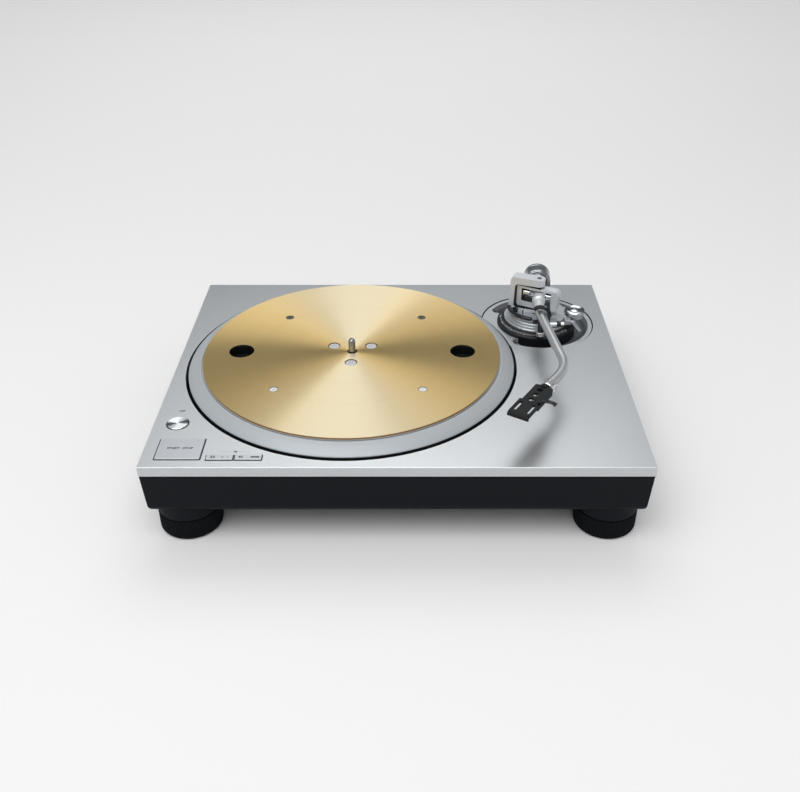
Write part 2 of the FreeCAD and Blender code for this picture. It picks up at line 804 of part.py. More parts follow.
def yoke():
    """Open C-shaped yoke that holds the upright pivots above and below the gimbal ring."""
    outline = [(-31.5, drum_top), (-29.8, 49.8), (-27.0, 52.8), (7, 52.8), (7, 45.0), (-22.4, 45.0),
               (-24.7, 42.8), (-25.3, 19.6), (-23.0, 17.2), (8, 17.2), (8, drum_top)]
    points = [vec(u, -8, up(h)) for u, h in outline]
    side = Part.Face(Part.makePolygon(points + points[:1])).extrude(vec(0, 16, 0))
    plan = rounded_block(-31.5, 2.8, -6.5, 6.5, drum_top - 1, 54, 2.4)
    plan = joined([plan, post(0, 0, drum_top - 1, 54, 6.5)])
    body = side.common(plan)
    bores = [post(0, 0, 44, 54, pivot_screw_radius), post(0, 0, drum_top - 1, 20, pivot_screw_radius)]
    return turned(without(body, bores), arm_x, arm_y, yoke_turn)


def vertical_pivots():
    """Upper and lower pivot screws of the upright axis."""
    upper = joined([post(0, 0, 44.4, 53.3, pivot_screw_radius), post(0, 0, 40.6, 44.6, pivot_tip_radius)])
    upper = upper.cut(block(-3, 3, -0.45, 0.45, 52.4, 54))
    lower = joined([post(0, 0, drum_top, 17.9, pivot_screw_radius), post(0, 0, 17.6, 22.4, pivot_tip_radius)])
    return turned(Part.makeCompound([upper, lower]), arm_x, arm_y, yoke_turn)


def gimbal_ring():
    """Frame that turns between the upright pivots and carries the level pivots."""
    outline = [(-23.3, 21.4), (-21.0, 18.6), (19.6, 18.6), (23.3, 23.6), (23.3, 39.8), (22.5, 41.6),
               (20.8, 42.7), (-21.2, 42.7), (-22.7, 42.1), (-23.3, 40.8)]
    points = [vec(u, -gimbal_depth / 2, up(h)) for u, h in outline]
    body = Part.Face(Part.makePolygon(points + points[:1])).extrude(vec(0, gimbal_depth, 0))
    opening = rounded_block_y(-17.0, 15.8, 25.4, 39.5)
    cutters = [opening, post(0, 0, 17, 44, pivot_tip_radius + shaft_fit), rod_x(-24, 24, 0, arm_height, 2.2)]
    return turned(without(body, cutters), arm_x, arm_y, gimbal_turn)


def rounded_block_y(x0, x1, h0, h1):
    """A cutter along Y with four cut corners."""
    c = 1.4
    outline = [(x0 + c, h0), (x1 - c, h0), (x1, h0 + c), (x1, h1 - c), (x1 - c, h1), (x0 + c, h1),
               (x0, h1 - c), (x0, h0 + c)]
    points = [vec(u, -10, up(h)) for u, h in outline]
    return Part.Face(Part.makePolygon(points + points[:1])).extrude(vec(0, 20, 0))


def side_pivots():
    """Left and right pivot screws of the level axis, in their bearing barrels."""
    bodies = []
    for side in (-1, 1):
        screw = rod_between(side, 15.6, 23.6, 2.2)
        barrel = rod_between(side, 9.0, 15.8, 4.2)
        tip = rod_between(side, 3.2, 9.2, side_tip_radius)
        slot = block(min(side * 22.9, side * 25), max(side * 22.9, side * 25), -0.4, 0.4,
                     arm_height - 3, arm_height + 3)
        bodies.append(joined([screw, barrel, tip]).cut(slot))
    return turned(Part.makeCompound(bodies), arm_x, arm_y, gimbal_turn)


def rod_between(side, near, far, radius):
    """A level rod on one side of the upright axis, between two distances from it."""
    return rod_x(min(side * near, side * far), max(side * near, side * far), 0, arm_height, radius)


def arm_sleeve():
    """Pivot hub of the arm with the sleeve that the tube sits in."""
    profile = [(8, 0), (8, 5.2), (-8.8, 5.2), (-8.8, 6.2), (-9.4, 6.8), (-16.4, 6.8), (-17.4, 5.9),
               (-18.2, 5.2), (-35.4, 5.2), (-36, 4.9), (-36, 0)]
    body = turned(spun_along_y(profile, arm_height), arm_x, arm_y, arm_turn)
    bore = turned(rod_x(-10, 10, 0, arm_height, side_tip_radius + shaft_fit), arm_x, arm_y, gimbal_turn)
    return body.cut(bore)


def ahead(x, y, degrees, distance):
    """The point a distance ahead of x, y, where 0 degrees faces -Y and positive turns to +X."""
    turn = math.radians(degrees)
    return (x + distance * math.sin(turn), y - distance * math.cos(turn))


def bend(path, corner, turn_in, turn_out, radius):
    """Adds a straight run to a bend and the bend's arc, and gives back its end."""
    half = math.radians(abs(turn_out - turn_in) / 2)
    reach = radius * math.tan(half)
    start = ahead(corner[0], corner[1], turn_in, -reach)
    end = ahead(corner[0], corner[1], turn_out, reach)
    inward = radius * (1 / math.cos(half) - 1)
    side = (turn_in + turn_out) / 2 + (90 if turn_out > turn_in else -90)
    middle = ahead(corner[0], corner[1], side, inward)
    z = up(arm_height)
    path.append(Part.makeLine(vec(path_end(path)[0], path_end(path)[1], z), vec(start[0], start[1], z)))
    arc = Part.Arc(vec(start[0], start[1], z), vec(middle[0], middle[1], z), vec(end[0], end[1], z))
    path.append(arc.toShape())


def path_end(path):
    """The last point of the tube's centre line so far."""
    if not path:
        return ahead(arm_x, arm_y, arm_turn, 36)
    last = path[-1].Vertexes[-1].Point
    return (last.x, last.y)


def arm_tube():
    """S-shaped tube from the sleeve to the locking collar."""
    path = []
    bend(path, (tube_knee_x, tube_knee_y), arm_turn, tube_middle_turn, knee_radius)
    bend(path, (tube_bend_x, tube_bend_y), tube_middle_turn, tube_end_turn, bend_radius)
    z = up(arm_height)
    last = path_end(path)
    end = ahead(shell_x, shell_y, tube_end_turn, -6)
    path.append(Part.makeLine(vec(last[0], last[1], z), vec(end[0], end[1], z)))
    wire = Part.Wire(path)
    start = path[0].Vertexes[0].Point
    turn = math.radians(arm_turn)
    ring = Part.makeCircle(tube_radius, start, vec(math.sin(turn), -math.cos(turn), 0))
    return wire.makePipeShell([Part.Wire([ring])], True, False)


def at_shell(shape):
    """Moves a shape built with the headshell's joint at the origin and its front towards -Y."""
    return turned(shape, shell_x, shell_y, tube_end_turn)


def locking_collar():
    """Bright collar that locks the headshell, with two knurled bands."""
    profile = [(0.3, tube_radius + 0.08), (0.3, 5.9), (1.0, 6.5), (3.4, 6.5), (3.8, 6.0), (5.0, 6.0),
               (5.4, 6.8), (9.4, 6.8), (10.2, 6.2), (10.2, tube_radius + 0.08)]
    return at_shell(spun_along_y(profile, arm_height))


def headshell():
    """Headshell with a hub, side walls, a perforated top and two cartridge slots."""
    top = shell_top
    stem = rod_y(0, -4, 5.6, arm_height, 4.0)
    hub = rod_y(0, -5.5, -0.2, arm_height, 6.2)
    neck = block(-6.0, 6.0, -6, -3, arm_height, top)
    deck_rear = block(-8.4, 8.4, -33.5, -3.6, top - 2.2, top)
    deck_front = block(-10.6, 9.8, -57, -32.2, top - 2.2, top)
    walls = [block(-8.4, -6.8, -33.5, -3.6, shell_low, top), block(6.8, 8.4, -33.5, -3.6, shell_low, top)]
    back = block(-8.4, 8.4, -5.4, -3.6, shell_low, top)
    lip = block(-10.6, 9.8, -57, -55.6, top - 4.2, top)
    body = joined([stem, hub, neck, deck_rear, deck_front, back, lip] + walls)
    nose = top_bevel(-58.0, -54.4, top)
    return at_shell(without(body, shell_holes() + [nose]))


def top_bevel(y0, y1, top):
    """Cutter that slopes the front edge of the headshell's top."""
    points = [vec(-20, y0, up(top - 2.0)), vec(-20, y1, up(top + 0.01)), vec(-20, y0, up(top + 0.01))]
    face = Part.Face(Part.makePolygon(points + points[:1]))
    return face.extrude(vec(40, 0, 0))


def shell_holes():
    """Three weight-saving holes and the two cartridge slots."""
    cutters = [post(-0.8, -y, shell_top - 5, shell_top + 1, 2.7) for y in (11.2, 20.2, 29.0)]
    for x in (-slot_spacing / 2 - 0.4, slot_spacing / 2 - 0.4):
        cutters.append(rounded_block(x - 1.5, x + 1.5, -51.0, -36.2, shell_top - 5, shell_top + 1, 1.45))
    return cutters


def finger_lift():
    """Curved strip at the headshell's right side that a finger lifts, with a rounded end."""
    middle = [(6.8, shell_top + 0.65), (8.6, shell_top + 1.0), (11.2, shell_top + 2.9),
              (14.5, shell_top + 4.4), (18.0, shell_top + 5.1), (20.6, shell_top + 5.0),
              (22.8, shell_top + 4.2)]
    half = 0.65
    upper = [vec(x, -33.2, up(h + half)) for x, h in middle]
    lower = [vec(x, -33.2, up(h - half)) for x, h in middle]
    outline = upper + lower[::-1]
    strip = Part.Face(Part.makePolygon(outline + outline[:1])).extrude(vec(0, 3.6, 0))
    bead = rod_y(middle[-1][0] + 0.3, -33.4, -29.4, middle[-1][1] - 0.1, 1.05)
    return at_shell(joined([strip, bead]))


def shell_leads():
    """Four thin cartridge leads inside the headshell."""
    bodies = []
    for x in (-3.0, -1.0, 1.0, 3.0):
        bodies.append(rod_y(x, -31.0, -5.8, arm_height - 0.7, 0.45))
    return at_shell(Part.makeCompound(bodies))


def at_arm(shape):
    """Moves a shape built on the arm's own line, its front towards -Y."""
    return turned(shape, arm_x, arm_y, arm_turn)


def rear_shaft():
    """Shaft behind the hub that the balance weight rides on."""
    profile = [(8, 0), (8, 5.0), (9, 4.4), (51, 4.4), (52, 3.6), (52, 0)]
    return at_arm(spun_along_y(profile, arm_height))


def balance_sleeve():
    """Threaded sleeve inside the balance weight."""
    profile = [(22, 4.4 + turn_gap), (22, 8.0), (45, 8.0), (45, 4.4 + turn_gap)]
    return at_arm(spun_along_y(profile, arm_height))


def counterweight():
    """Balance weight with bevelled edges and a groove."""
    bore = 8.0 + turn_gap
    profile = [(30.2, bore), (30.2, 13.3), (31.4, 14.5), (43.0, 14.5), (43.6, 14.0), (44.4, 14.0),
               (45.0, 14.5), (47.4, 14.5), (48.4, 13.5), (48.4, bore)]
    return at_arm(spun_along_y(profile, arm_height))


def scale_ring():
    """Stylus-force dial in front of the balance weight."""
    bore = 8.0 + turn_gap
    profile = [(22.6, bore), (22.6, 11.4), (23.2, 12.0), (26.8, 12.4), (27.2, 13.8), (27.8, 14.4), (29.2, 14.4),
               (29.6, 14.0), (29.6, bore)]
    return at_arm(spun_along_y(profile, arm_height))


# Arm rest and clip
def rest_post():
    """Leaning black post with the cradle under the arm and the clip's hinge fork."""
    low = Part.Wire([Part.makeCircle(3.3, vec(rest_x, rest_y, up(11.2)))])
    high = Part.Wire([Part.makeCircle(2.5, vec(cradle_x + 1.0, cradle_y, up(24.0)))])
    column = Part.makeLoft([low, high], True)
    y0 = cradle_y - 2.6
    y1 = cradle_y + 2.6
    saddle = block(cradle_x - 7.0, cradle_x + 10.6, y0, y1, 23.2, 25.4)
    wall = block(cradle_x + 8.4, cradle_x + 10.6, y0, y1, 23.2, arm_height - 2.4)
    ears = []
    for near, far in ((-3.4, -1.9), (1.9, 3.4)):
        ears.append(rod_y(clip_pin_x, cradle_y + near, cradle_y + far, arm_height, 1.9))
        ears.append(block(cradle_x + 8.4, cradle_x + 10.6, cradle_y + near, cradle_y + far,
                          arm_height - 3.2, arm_height))
    pin = rod_y(clip_pin_x, cradle_y - 3.4, cradle_y + 3.4, arm_height, 0.8)
    body = joined([column, saddle, wall] + ears + [pin])
    return body


def arm_clip():
    """Hooked clip that closes over the arm on its rest."""
    points = []
    for step in range(0, 20):
        turn = math.radians(-6 + step * (clip_open_end + 6) / 19)
        points.append((clip_outer * math.cos(turn), clip_outer * math.sin(turn)))
    for step in range(19, -1, -1):
        turn = math.radians(-6 + step * (clip_open_end + 6) / 19)
        points.append((clip_inner * math.cos(turn), clip_inner * math.sin(turn)))
    ends = [vec(cradle_x + x, cradle_y - 3.2, up(arm_height + h)) for x, h in points]
    hook = Part.Face(Part.makePolygon(ends + ends[:1])).extrude(vec(0, 6.4, 0))
    clear = []
    for near, far in ((-4.0, -1.6), (1.6, 4.0)):
        clear.append(rod_y(clip_pin_x, cradle_y + near, cradle_y + far, arm_height, 2.3))
    knuckle = rod_y(clip_pin_x, cradle_y - 1.6, cradle_y + 1.6, arm_height, 1.7)
    tab = [(7.2, 1.0), (10.4, 1.0), (9.6, 9.0), (6.0, 9.0)]
    corners = [vec(cradle_x + x, cradle_y - 1.5, up(arm_height + h)) for x, h in tab]
    tab = Part.Face(Part.makePolygon(corners + corners[:1])).extrude(vec(0, 3, 0))
    body = joined([without(hook, clear), knuckle, tab])
    return body.cut(rod_y(clip_pin_x, cradle_y - 4, cradle_y + 4, arm_height, 1.1))


# Cueing device
def stop_screw():
    """Small upright screw that sets how low the arm comes down."""
    shank = post(stop_x, stop_y, drum_top, 24.8, 0.9)
    head = post(stop_x, stop_y, 24.6, 26.0, 1.5)
    nut = post(stop_x, stop_y, drum_top, 15.0, 2.0)
    return joined([shank, head.makeChamfer(0.3, head.Edges), nut])


def cue_cylinder():
    """Damping cylinder of the arm lift."""
    body = post(cue_x, cue_y, drum_top, 16.6, 4.2)
    body = body.makeChamfer(0.6, edges_at(body, 16.6))
    return body.cut(post(cue_x, cue_y, drum_top - 1, 21, cue_rod_radius + turn_gap))


def cue_bar():
    """Curved lifting bar on its rod."""
    half = 2.0
    profile = [(cue_bar_radius - half, cue_bar_low + 0.8), (cue_bar_radius - half + 0.8, cue_bar_low),
               (cue_bar_radius + half - 0.8, cue_bar_low), (cue_bar_radius + half, cue_bar_low + 0.8),
               (cue_bar_radius + half, cue_bar_high - 0.8), (cue_bar_radius + half - 0.8, cue_bar_high),
               (cue_bar_radius - half + 0.8, cue_bar_high), (cue_bar_radius - half, cue_bar_high - 0.8)]
    arc = spun(arm_x, arm_y, profile, 180, 70)
    ends = [Part.makeSphere(2.1, vec(x, y, up((cue_bar_low + cue_bar_high) / 2)))
            for x, y in around(arm_x, arm_y, cue_bar_radius, (250,))]
    rod = post(cue_x, cue_y, drum_top - 6, cue_bar_low + 2.2, cue_rod_radius)
    link = block(0, 5.6, -2.4, 2.4, cue_bar_low, cue_bar_low + 2.2)
    turn = math.degrees(math.atan2(cue_y - arm_y, cue_x - arm_x))
    link = turned(link, cue_x, cue_y, turn)
    pad = post(cue_x, cue_y, cue_bar_low, cue_bar_low + 2.2, 3.2)
    return joined([arc, rod, link, pad] + ends)


# Anti-skating dial, arm lock and cue lever at the right of the base


def antiskate_housing():
    """Cup of the anti-skating dial on a plate from the drum, with the lever's bearing."""
    profile = [(0, 8.6), (6.4, 8.6), (7.9, 9.1), (8.8, 10.1), (9.1, 11.4), (9.1, drum_top), (0, drum_top)]
    cup = spun(skate_x, skate_y, profile)
    plate = block(arm_x + 13.5, skate_x, front_y + 247.6, front_y + 267.0, drum_top, drum_top + 1.8)
    plate = plate.cut(post(skate_x, skate_y, drum_top - 1, 20, dial_seat))
    ear = block(178.2, 184.0, front_y + 238.0, front_y + 250.0, 8.8, drum_top)
    shelf = block(176.0, 184.0, front_y + 244.7, front_y + 267.0, 11.0, drum_top + 0.6)
    pin = rod_x(183, lever_x + 2.6, lever_y, lever_height, 1.1)
    axle = post(skate_x, skate_y, 12, 18.0, 2.2)
    body = joined([cup, plate, ear, shelf.cut(post(skate_x, skate_y, 0, 20, dial_seat)), pin, axle])
    return without(body, drum_clearance())


def drum_clearance():
    """The drum's steps as cutters for what stands against it."""
    return [post(arm_x, arm_y, 0, 8.2, drum_radius), post(arm_x, arm_y, 0, 10.6, drum_step_radius),
            post(arm_x, arm_y, 0, drum_top, drum_cap_radius)]


def antiskate_dial():
    """Anti-skating dial with a grooved side and a domed, dished top."""
    profile = [(2.2 + shaft_fit, 13.8), (9.6, 13.8), (9.6, 15.6), (8.8, 15.8), (8.8, 16.4), (10.4, 16.4),
               (10.8, 16.8), (10.8, 18.6), (10.2, 19.3), (8.6, 19.6), (5.4, 19.0), (2.6, 19.7), (0, 19.8),
               (0, 18.2), (2.2 + shaft_fit, 18.2)]
    return spun(skate_x, skate_y, profile)


def lock_knob():
    """Small level knob that locks the arm's height."""
    r = lock_radius
    profile = [(0, lock_pin_radius + shaft_fit), (0, r - 0.5), (0.5, r), (7.4, r), (7.8, r - 0.6),
               (11.6, r - 0.6), (12.0, r), (15.2, r), (15.9, r - 0.7), (15.9, 0), (6.0, 0),
               (6.0, lock_pin_radius + shaft_fit)]
    knob = spun_along_y(profile, lock_height)
    return turned(knob, lock_x, lock_y, -90)


def cue_lever():
    """Flat lever that raises the arm, sloping forwards from its pivot."""
    boss = rod_x(lever_x - 1.9, lever_x + 2.1, lever_y, lever_height, 2.5)
    length = 15.0
    bar = Part.makeBox(4.4, length, 1.9, vec(-2.2, -length, -0.9))
    bar = bar.makeFillet(0.5, bar.Edges)
    bar.rotate(vec(0, 0, 0), vec(1, 0, 0), 20)
    bar.rotate(vec(0, 0, 0), vec(0, 0, 1), 27)
    bar.translate(vec(lever_x + 0.4, lever_y, up(lever_height + 0.6)))
    bore = rod_x(lever_x - 4, lever_x + 4, lever_y, lever_height, 1.1 + shaft_fit)
    return joined([boss, bar]).cut(bore)


def main():
    save("top_panel", top_panel())
    save("chassis_casting", chassis_casting())
    save("cabinet", cabinet())
    save("bottom_cover", bottom_cover())
    save("bottom_screws", bottom_screws())
    save("rear_plate", rear_plate())
    save("phono_jacks", phono_jacks())
    save("ground_post", ground_post())
    save("mains_inlet", mains_inlet())
    save("hinge_sockets", hinge_sockets())
    save("start_stop_button", start_stop_button())
    save("speed_33_button", speed_button(speed_33_left, False))
    save("speed_45_button", speed_button(speed_45_left, True))
    save("power_dial", power_dial())
    save("button_switches", button_switches())
    save("control_board", control_board())
    save("transformer", transformer())
    save("power_board", power_board())
    names = ("foot_front_left", "foot_front_right", "foot_rear_left", "foot_rear_right")
    for name, (x, y) in zip(names, foot_spots()):
        save(name, foot(x, y))
    save("brass_plate", brass_plate())
    save("platter_casting", platter_casting())
    save("plate_screws", plate_screws())
    save("hub_screws", hub_screws())
    save("platter_damper", platter_damper())
    save("rotor_yoke", rotor_yoke())
    save("rotor_magnet", rotor_magnet())
    save("spindle", spindle())
    save("bearing_housing", bearing_housing())
    save("stator_core", stator_core())
    save("stator_board", stator_board())
    save("stator_coils", stator_coils())
    save("arm_base_plate", arm_base_plate())
    save("height_ring", height_ring())
    save("arm_drum", arm_drum())
    save("yoke", yoke())
    save("vertical_pivots", vertical_pivots())
    save("gimbal_ring", gimbal_ring())
    save("side_pivots", side_pivots())
    save("arm_sleeve", arm_sleeve())
    save("arm_tube", arm_tube())
    save("locking_collar", locking_collar())
    save("headshell", headshell())
    save("finger_lift", finger_lift())
    save("shell_leads", shell_leads())
    save("rear_shaft", rear_shaft())
    save("balance_sleeve", balance_sleeve())
    save("counterweight", counterweight())
    save("scale_ring", scale_ring())
    save("rest_post", rest_post())
    save("arm_clip", arm_clip())
    save("cue_cylinder", cue_cylinder())
    save("stop_screw", stop_screw())
    save("cue_bar", cue_bar())
    save("antiskate_housing", antiskate_housing())
    save("antiskate_dial", antiskate_dial())
    save("lock_knob", lock_knob())
    save("cue_lever", cue_lever())


main()
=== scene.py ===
"""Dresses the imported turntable: finishes for every solid, printed words and scales, floor, light and camera."""

import logging
import math
from dataclasses import dataclass
from enum import Enum
from typing import Any, Dict, List, Sequence, Tuple

import bpy
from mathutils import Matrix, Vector


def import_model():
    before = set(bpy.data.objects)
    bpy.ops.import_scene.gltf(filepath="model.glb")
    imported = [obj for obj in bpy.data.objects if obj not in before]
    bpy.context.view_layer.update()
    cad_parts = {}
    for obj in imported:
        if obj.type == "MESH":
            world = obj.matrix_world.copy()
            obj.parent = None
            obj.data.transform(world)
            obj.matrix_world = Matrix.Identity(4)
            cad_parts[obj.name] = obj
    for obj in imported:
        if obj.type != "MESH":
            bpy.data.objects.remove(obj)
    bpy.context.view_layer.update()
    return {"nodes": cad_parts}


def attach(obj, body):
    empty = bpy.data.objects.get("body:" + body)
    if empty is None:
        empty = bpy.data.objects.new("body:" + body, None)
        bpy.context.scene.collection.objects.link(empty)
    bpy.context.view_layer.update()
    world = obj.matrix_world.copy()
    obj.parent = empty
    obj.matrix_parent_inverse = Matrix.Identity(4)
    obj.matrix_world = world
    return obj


log = logging.getLogger("turntable")

Colour = Tuple[float, float, float, float]
Point = Tuple[float, float, float]
Pair = Tuple[float, float]
FAR = 1.0  # metres; farther out than any piece


def tone(red: int, green: int, blue: int) -> Colour:
    """A colour given as screen values from 0 to 255.

    Args:
        red: Red value.
        green: Green value.
        blue: Blue value.

    Returns:
        The same colour in linear light, with full alpha.
    """

    def linear(value: int) -> float:
        """One channel in linear light."""
        share = value / 255
        return share / 12.92 if share <= 0.04045 else ((share + 0.055) / 1.055) ** 2.4

    return (linear(red), linear(green), linear(blue), 1.0)


def scaled(colour: Colour, factor: float, lift: float = 0.0) -> Colour:
    """A colour made darker or lighter by a factor and then lifted, with full alpha."""
    red, green, blue = (min(1.0, part * factor + lift) for part in colour[:3])
    return (red, green, blue, 1.0)


class Wire:
    """A number socket that takes part in sums and products."""

    def __init__(self, bench: "Bench", socket: bpy.types.NodeSocket) -> None:
        """Keeps the socket and the bench that it belongs to."""
        self.bench = bench
        self.socket = socket

    def combine(self, operation: str, other: "Wire | float", swapped: bool = False) -> "Wire":
        """Joins this value with another through a Math node.

        Args:
            operation: Name of the Math node's operation.
            other: A wire or a plain number.
            swapped: Puts the other value first.

        Returns:
            The result.
        """
        first, second = (other, self) if swapped else (self, other)
        return self.bench.value("ShaderNodeMath", {"operation": operation}, {0: first, 1: second})

    def __add__(self, other: "Wire | float") -> "Wire":
        """Sum."""
        return self.combine("ADD", other)

    __radd__ = __add__

    def __sub__(self, other: "Wire | float") -> "Wire":
        """Difference."""
        return self.combine("SUBTRACT", other)

    def __rsub__(self, other: "Wire | float") -> "Wire":
        """Difference with this value second."""
        return self.combine("SUBTRACT", other, True)

    def __mul__(self, other: "Wire | float") -> "Wire":
        """Product."""
        return self.combine("MULTIPLY", other)

    __rmul__ = __mul__

    def __truediv__(self, other: "Wire | float") -> "Wire":
        """Quotient."""
        return self.combine("DIVIDE", other)

    def single(self, operation: str) -> "Wire":
        """The result of a Math operation on this value alone."""
        return self.bench.value("ShaderNodeMath", {"operation": operation}, {0: self})


class Bench:
    """Builds the node tree of one material."""

    def __init__(self, name: str) -> None:
        """Starts an empty material with a shader and an output."""
        self.material = bpy.data.materials.new(name)
        self.material.use_nodes = True
        self.tree = self.material.node_tree
        self.tree.nodes.clear()
        self.output = self.node("ShaderNodeOutputMaterial")
        self.shader = self.node("ShaderNodeBsdfPrincipled")
        self.join(self.shader.outputs[0], self.output.inputs["Surface"])
        self.coordinates = self.node("ShaderNodeTexCoord").outputs["Object"]

    def node(
        self, kind: str, settings: Dict[str, Any] | None = None, values: Dict[Any, Any] | None = None
    ) -> bpy.types.Node:
        """Makes any node.

        Args:
            kind: Node type.
            settings: Attributes that are set first.
            values: Sockets by name or number, each a number, colour, wire or socket.

        Returns:
            The node.
        """
        made = self.tree.nodes.new(kind)
        for key, value in (settings or {}).items():
            setattr(made, key, value)
        for key, value in (values or {}).items():
            self.feed(made.inputs[key], value)
        return made

    def feed(self, socket: bpy.types.NodeSocket, value: Any) -> None:
        """Sets a socket to a value or links it."""
        if isinstance(value, Wire):
            self.join(value.socket, socket)
        elif isinstance(value, bpy.types.NodeSocket):
            self.join(value, socket)
        else:
            socket.default_value = value

    def join(self, source: bpy.types.NodeSocket, target: bpy.types.NodeSocket) -> None:
        """Links two sockets."""
        self.tree.links.new(source, target)

    def value(
        self, kind: str, settings: Dict[str, Any] | None = None, values: Dict[Any, Any] | None = None,
        output: int | str = 0
    ) -> Wire:
        """Makes a node and gives one of its outputs as a wire."""
        return Wire(self, self.node(kind, settings, values).outputs[output])

    def placed(self, centre: Point = (0, 0, 0), scale: Point = (1, 1, 1), turn: float = 0.0) -> bpy.types.NodeSocket:
        """Object coordinates moved to a centre, turned about Z in degrees and then scaled.

        Args:
            centre: The point that becomes the origin, in metres.
            scale: Factors along the turned axes.
            turn: Angle that the pattern's axes are turned by.

        Returns:
            The vector socket.
        """
        away = self.node("ShaderNodeVectorMath", {"operation": "SUBTRACT"}, {0: self.coordinates, 1: centre})
        mapping = self.node(
            "ShaderNodeMapping", {"vector_type": "TEXTURE"},
            {"Vector": away.outputs[0], "Rotation": (0, 0, math.radians(turn)),
             "Scale": tuple(1 / s for s in scale)})
        return mapping.outputs[0]

    def noise(self, vector: bpy.types.NodeSocket, scale: float, detail: float = 2.0, rough: float = 0.5) -> Wire:
        """Smooth noise from 0 to 1."""
        return self.value("ShaderNodeTexNoise", {}, {"Vector": vector, "Scale": scale, "Detail": detail,
                                                     "Roughness": rough})

    def step(self, wire: Wire, low: float, high: float) -> Wire:
        """Maps low..high smoothly to 0..1 and holds it outside."""
        return self.value("ShaderNodeMapRange", {"interpolation_type": "SMOOTHSTEP"},
                          {"Value": wire, "From Min": low, "From Max": high})

    def parts(self, vector: bpy.types.NodeSocket) -> Tuple[Wire, Wire, Wire]:
        """The three numbers of a vector."""
        split = self.node("ShaderNodeSeparateXYZ", {}, {0: vector})
        return Wire(self, split.outputs[0]), Wire(self, split.outputs[1]), Wire(self, split.outputs[2])

    def blend(self, factor: Wire, first: Any, second: Any) -> bpy.types.NodeSocket:
        """Mixes two colours."""
        mix = self.node("ShaderNodeMix", {"data_type": "RGBA"})
        self.feed(mix.inputs["Factor"], factor)
        self.feed(mix.inputs[6], first)
        self.feed(mix.inputs[7], second)
        return mix.outputs[2]

    def dents(self, height: Wire, strength: float, depth: float) -> None:
        """Turns a height into the shader's normal."""
        bump = self.node("ShaderNodeBump", {}, {"Strength": strength, "Distance": depth, "Height": height})
        self.join(bump.outputs[0], self.shader.inputs["Normal"])

    def set(self, **values: Any) -> None:
        """Sets the shader's own sockets; underscores stand for spaces."""
        for key, value in values.items():
            self.feed(self.shader.inputs[key.replace("_", " ")], value)


class Sky(Bench):
    """The same bench for the light that comes from all round."""

    def __init__(self, name: str) -> None:
        """Starts an empty world with a plain background."""
        self.material = bpy.data.worlds.new(name)
        self.material.use_nodes = True
        self.tree = self.material.node_tree
        self.tree.nodes.clear()
        self.output = self.node("ShaderNodeOutputWorld")
        self.shader = self.node("ShaderNodeBackground")
        self.join(self.shader.outputs[0], self.output.inputs["Surface"])
        self.coordinates = self.node("ShaderNodeTexCoord").outputs["Generated"]


class Axis(Enum):
    """The axis that a band of painted shade lies across."""

    X = 0
    Y = 1
    Z = 2


@dataclass(frozen=True)
class Zone:
    """A part of a piece painted another colour, inside a box and inside a radius about Z; every zone here is painted
    shade.
    """

    colour: Colour
    low: Point = (-FAR, -FAR, -FAR)
    high: Point = (FAR, FAR, FAR)
    centre: Point = (0.0, 0.0, 0.0)
    turn: float = 0.0
    reach: float = FAR
    soft: float = 0.00004

    def mask(self, bench: Bench) -> Wire:
        """Measures the zone in coordinates from its centre.

        Args:
            bench: The material's bench.

        Returns:
            1 inside the zone and 0 outside.
        """
        across, along, up = bench.parts(bench.placed(self.centre, turn=self.turn))
        out = (across * across + along * along).single("SQRT")
        inside = 1 - bench.step(out, self.reach - self.soft, self.reach + self.soft)
        for part, low, high in zip((across, along, up), self.low, self.high):
            if low > -FAR:
                inside = inside * bench.step(part, low - self.soft, low + self.soft)
            if high < FAR:
                inside = inside * (1 - bench.step(part, high - self.soft, high + self.soft))
        return inside


@dataclass(frozen=True)
class Finish:
    """A surface finish that makes one material and keeps it."""

    name: str
    colour: Colour
    roughness: float = 0.5
    zones: Tuple[Zone, ...] = ()

    def paint(self, bench: Bench) -> None:
        """Fills the shader; each finish does this its own way."""
        raise NotImplementedError

    def coloured(self, bench: Bench, base: Any, metallic: float) -> None:
        """Sets the colour and the metal share, both changed where a zone is.

        Args:
            bench: The material's bench.
            base: Colour or socket outside the zones.
            metallic: Metal share outside the zones.
        """
        bare: Wire | float = metallic
        for zone in self.zones:
            mask = zone.mask(bench)
            base = bench.blend(mask, base, zone.colour)
            bare = (1 - mask) * bare
        bench.set(Base_Color=base, Metallic=bare)

    def material(self) -> bpy.types.Material:
        """The finish's material, made the first time it is asked for."""
        known = bpy.data.materials.get(self.name)
        if known is not None:
            return known
        bench = Bench(self.name)
        self.paint(bench)
        return bench.material


@dataclass(frozen=True)
class GrainedPaint(Finish):
    """Metallic paint or bead-blasted metal with a fine sparkle and faint large clouds."""

    metallic: float = 0.6
    grain: float = 2600.0
    contrast: float = 0.12
    depth: float = 0.00003
    clouds: float = 0.04
    cloud_scale: float = 9.0
    sparkle_gloss: float = 0.12
    cloud_gloss: float = 0.05
    relief: float = 0.25

    def paint(self, bench: Bench) -> None:
        """Speckles the colour, roughness and height."""
        sparkle = bench.noise(bench.coordinates, self.grain, 1.0)
        cloud = bench.noise(bench.coordinates, self.cloud_scale, 2.0)
        mixed = bench.blend(bench.step(sparkle + (cloud - 0.5) * self.clouds, 0.3, 0.7),
                            scaled(self.colour, 1 - self.contrast), scaled(self.colour, 1 + self.contrast))
        self.coloured(bench, mixed, self.metallic)
        bench.set(Roughness=(sparkle - 0.5) * self.sparkle_gloss + (cloud - 0.5) * self.cloud_gloss +
                  self.roughness)
        bench.dents(sparkle, self.relief, self.depth)


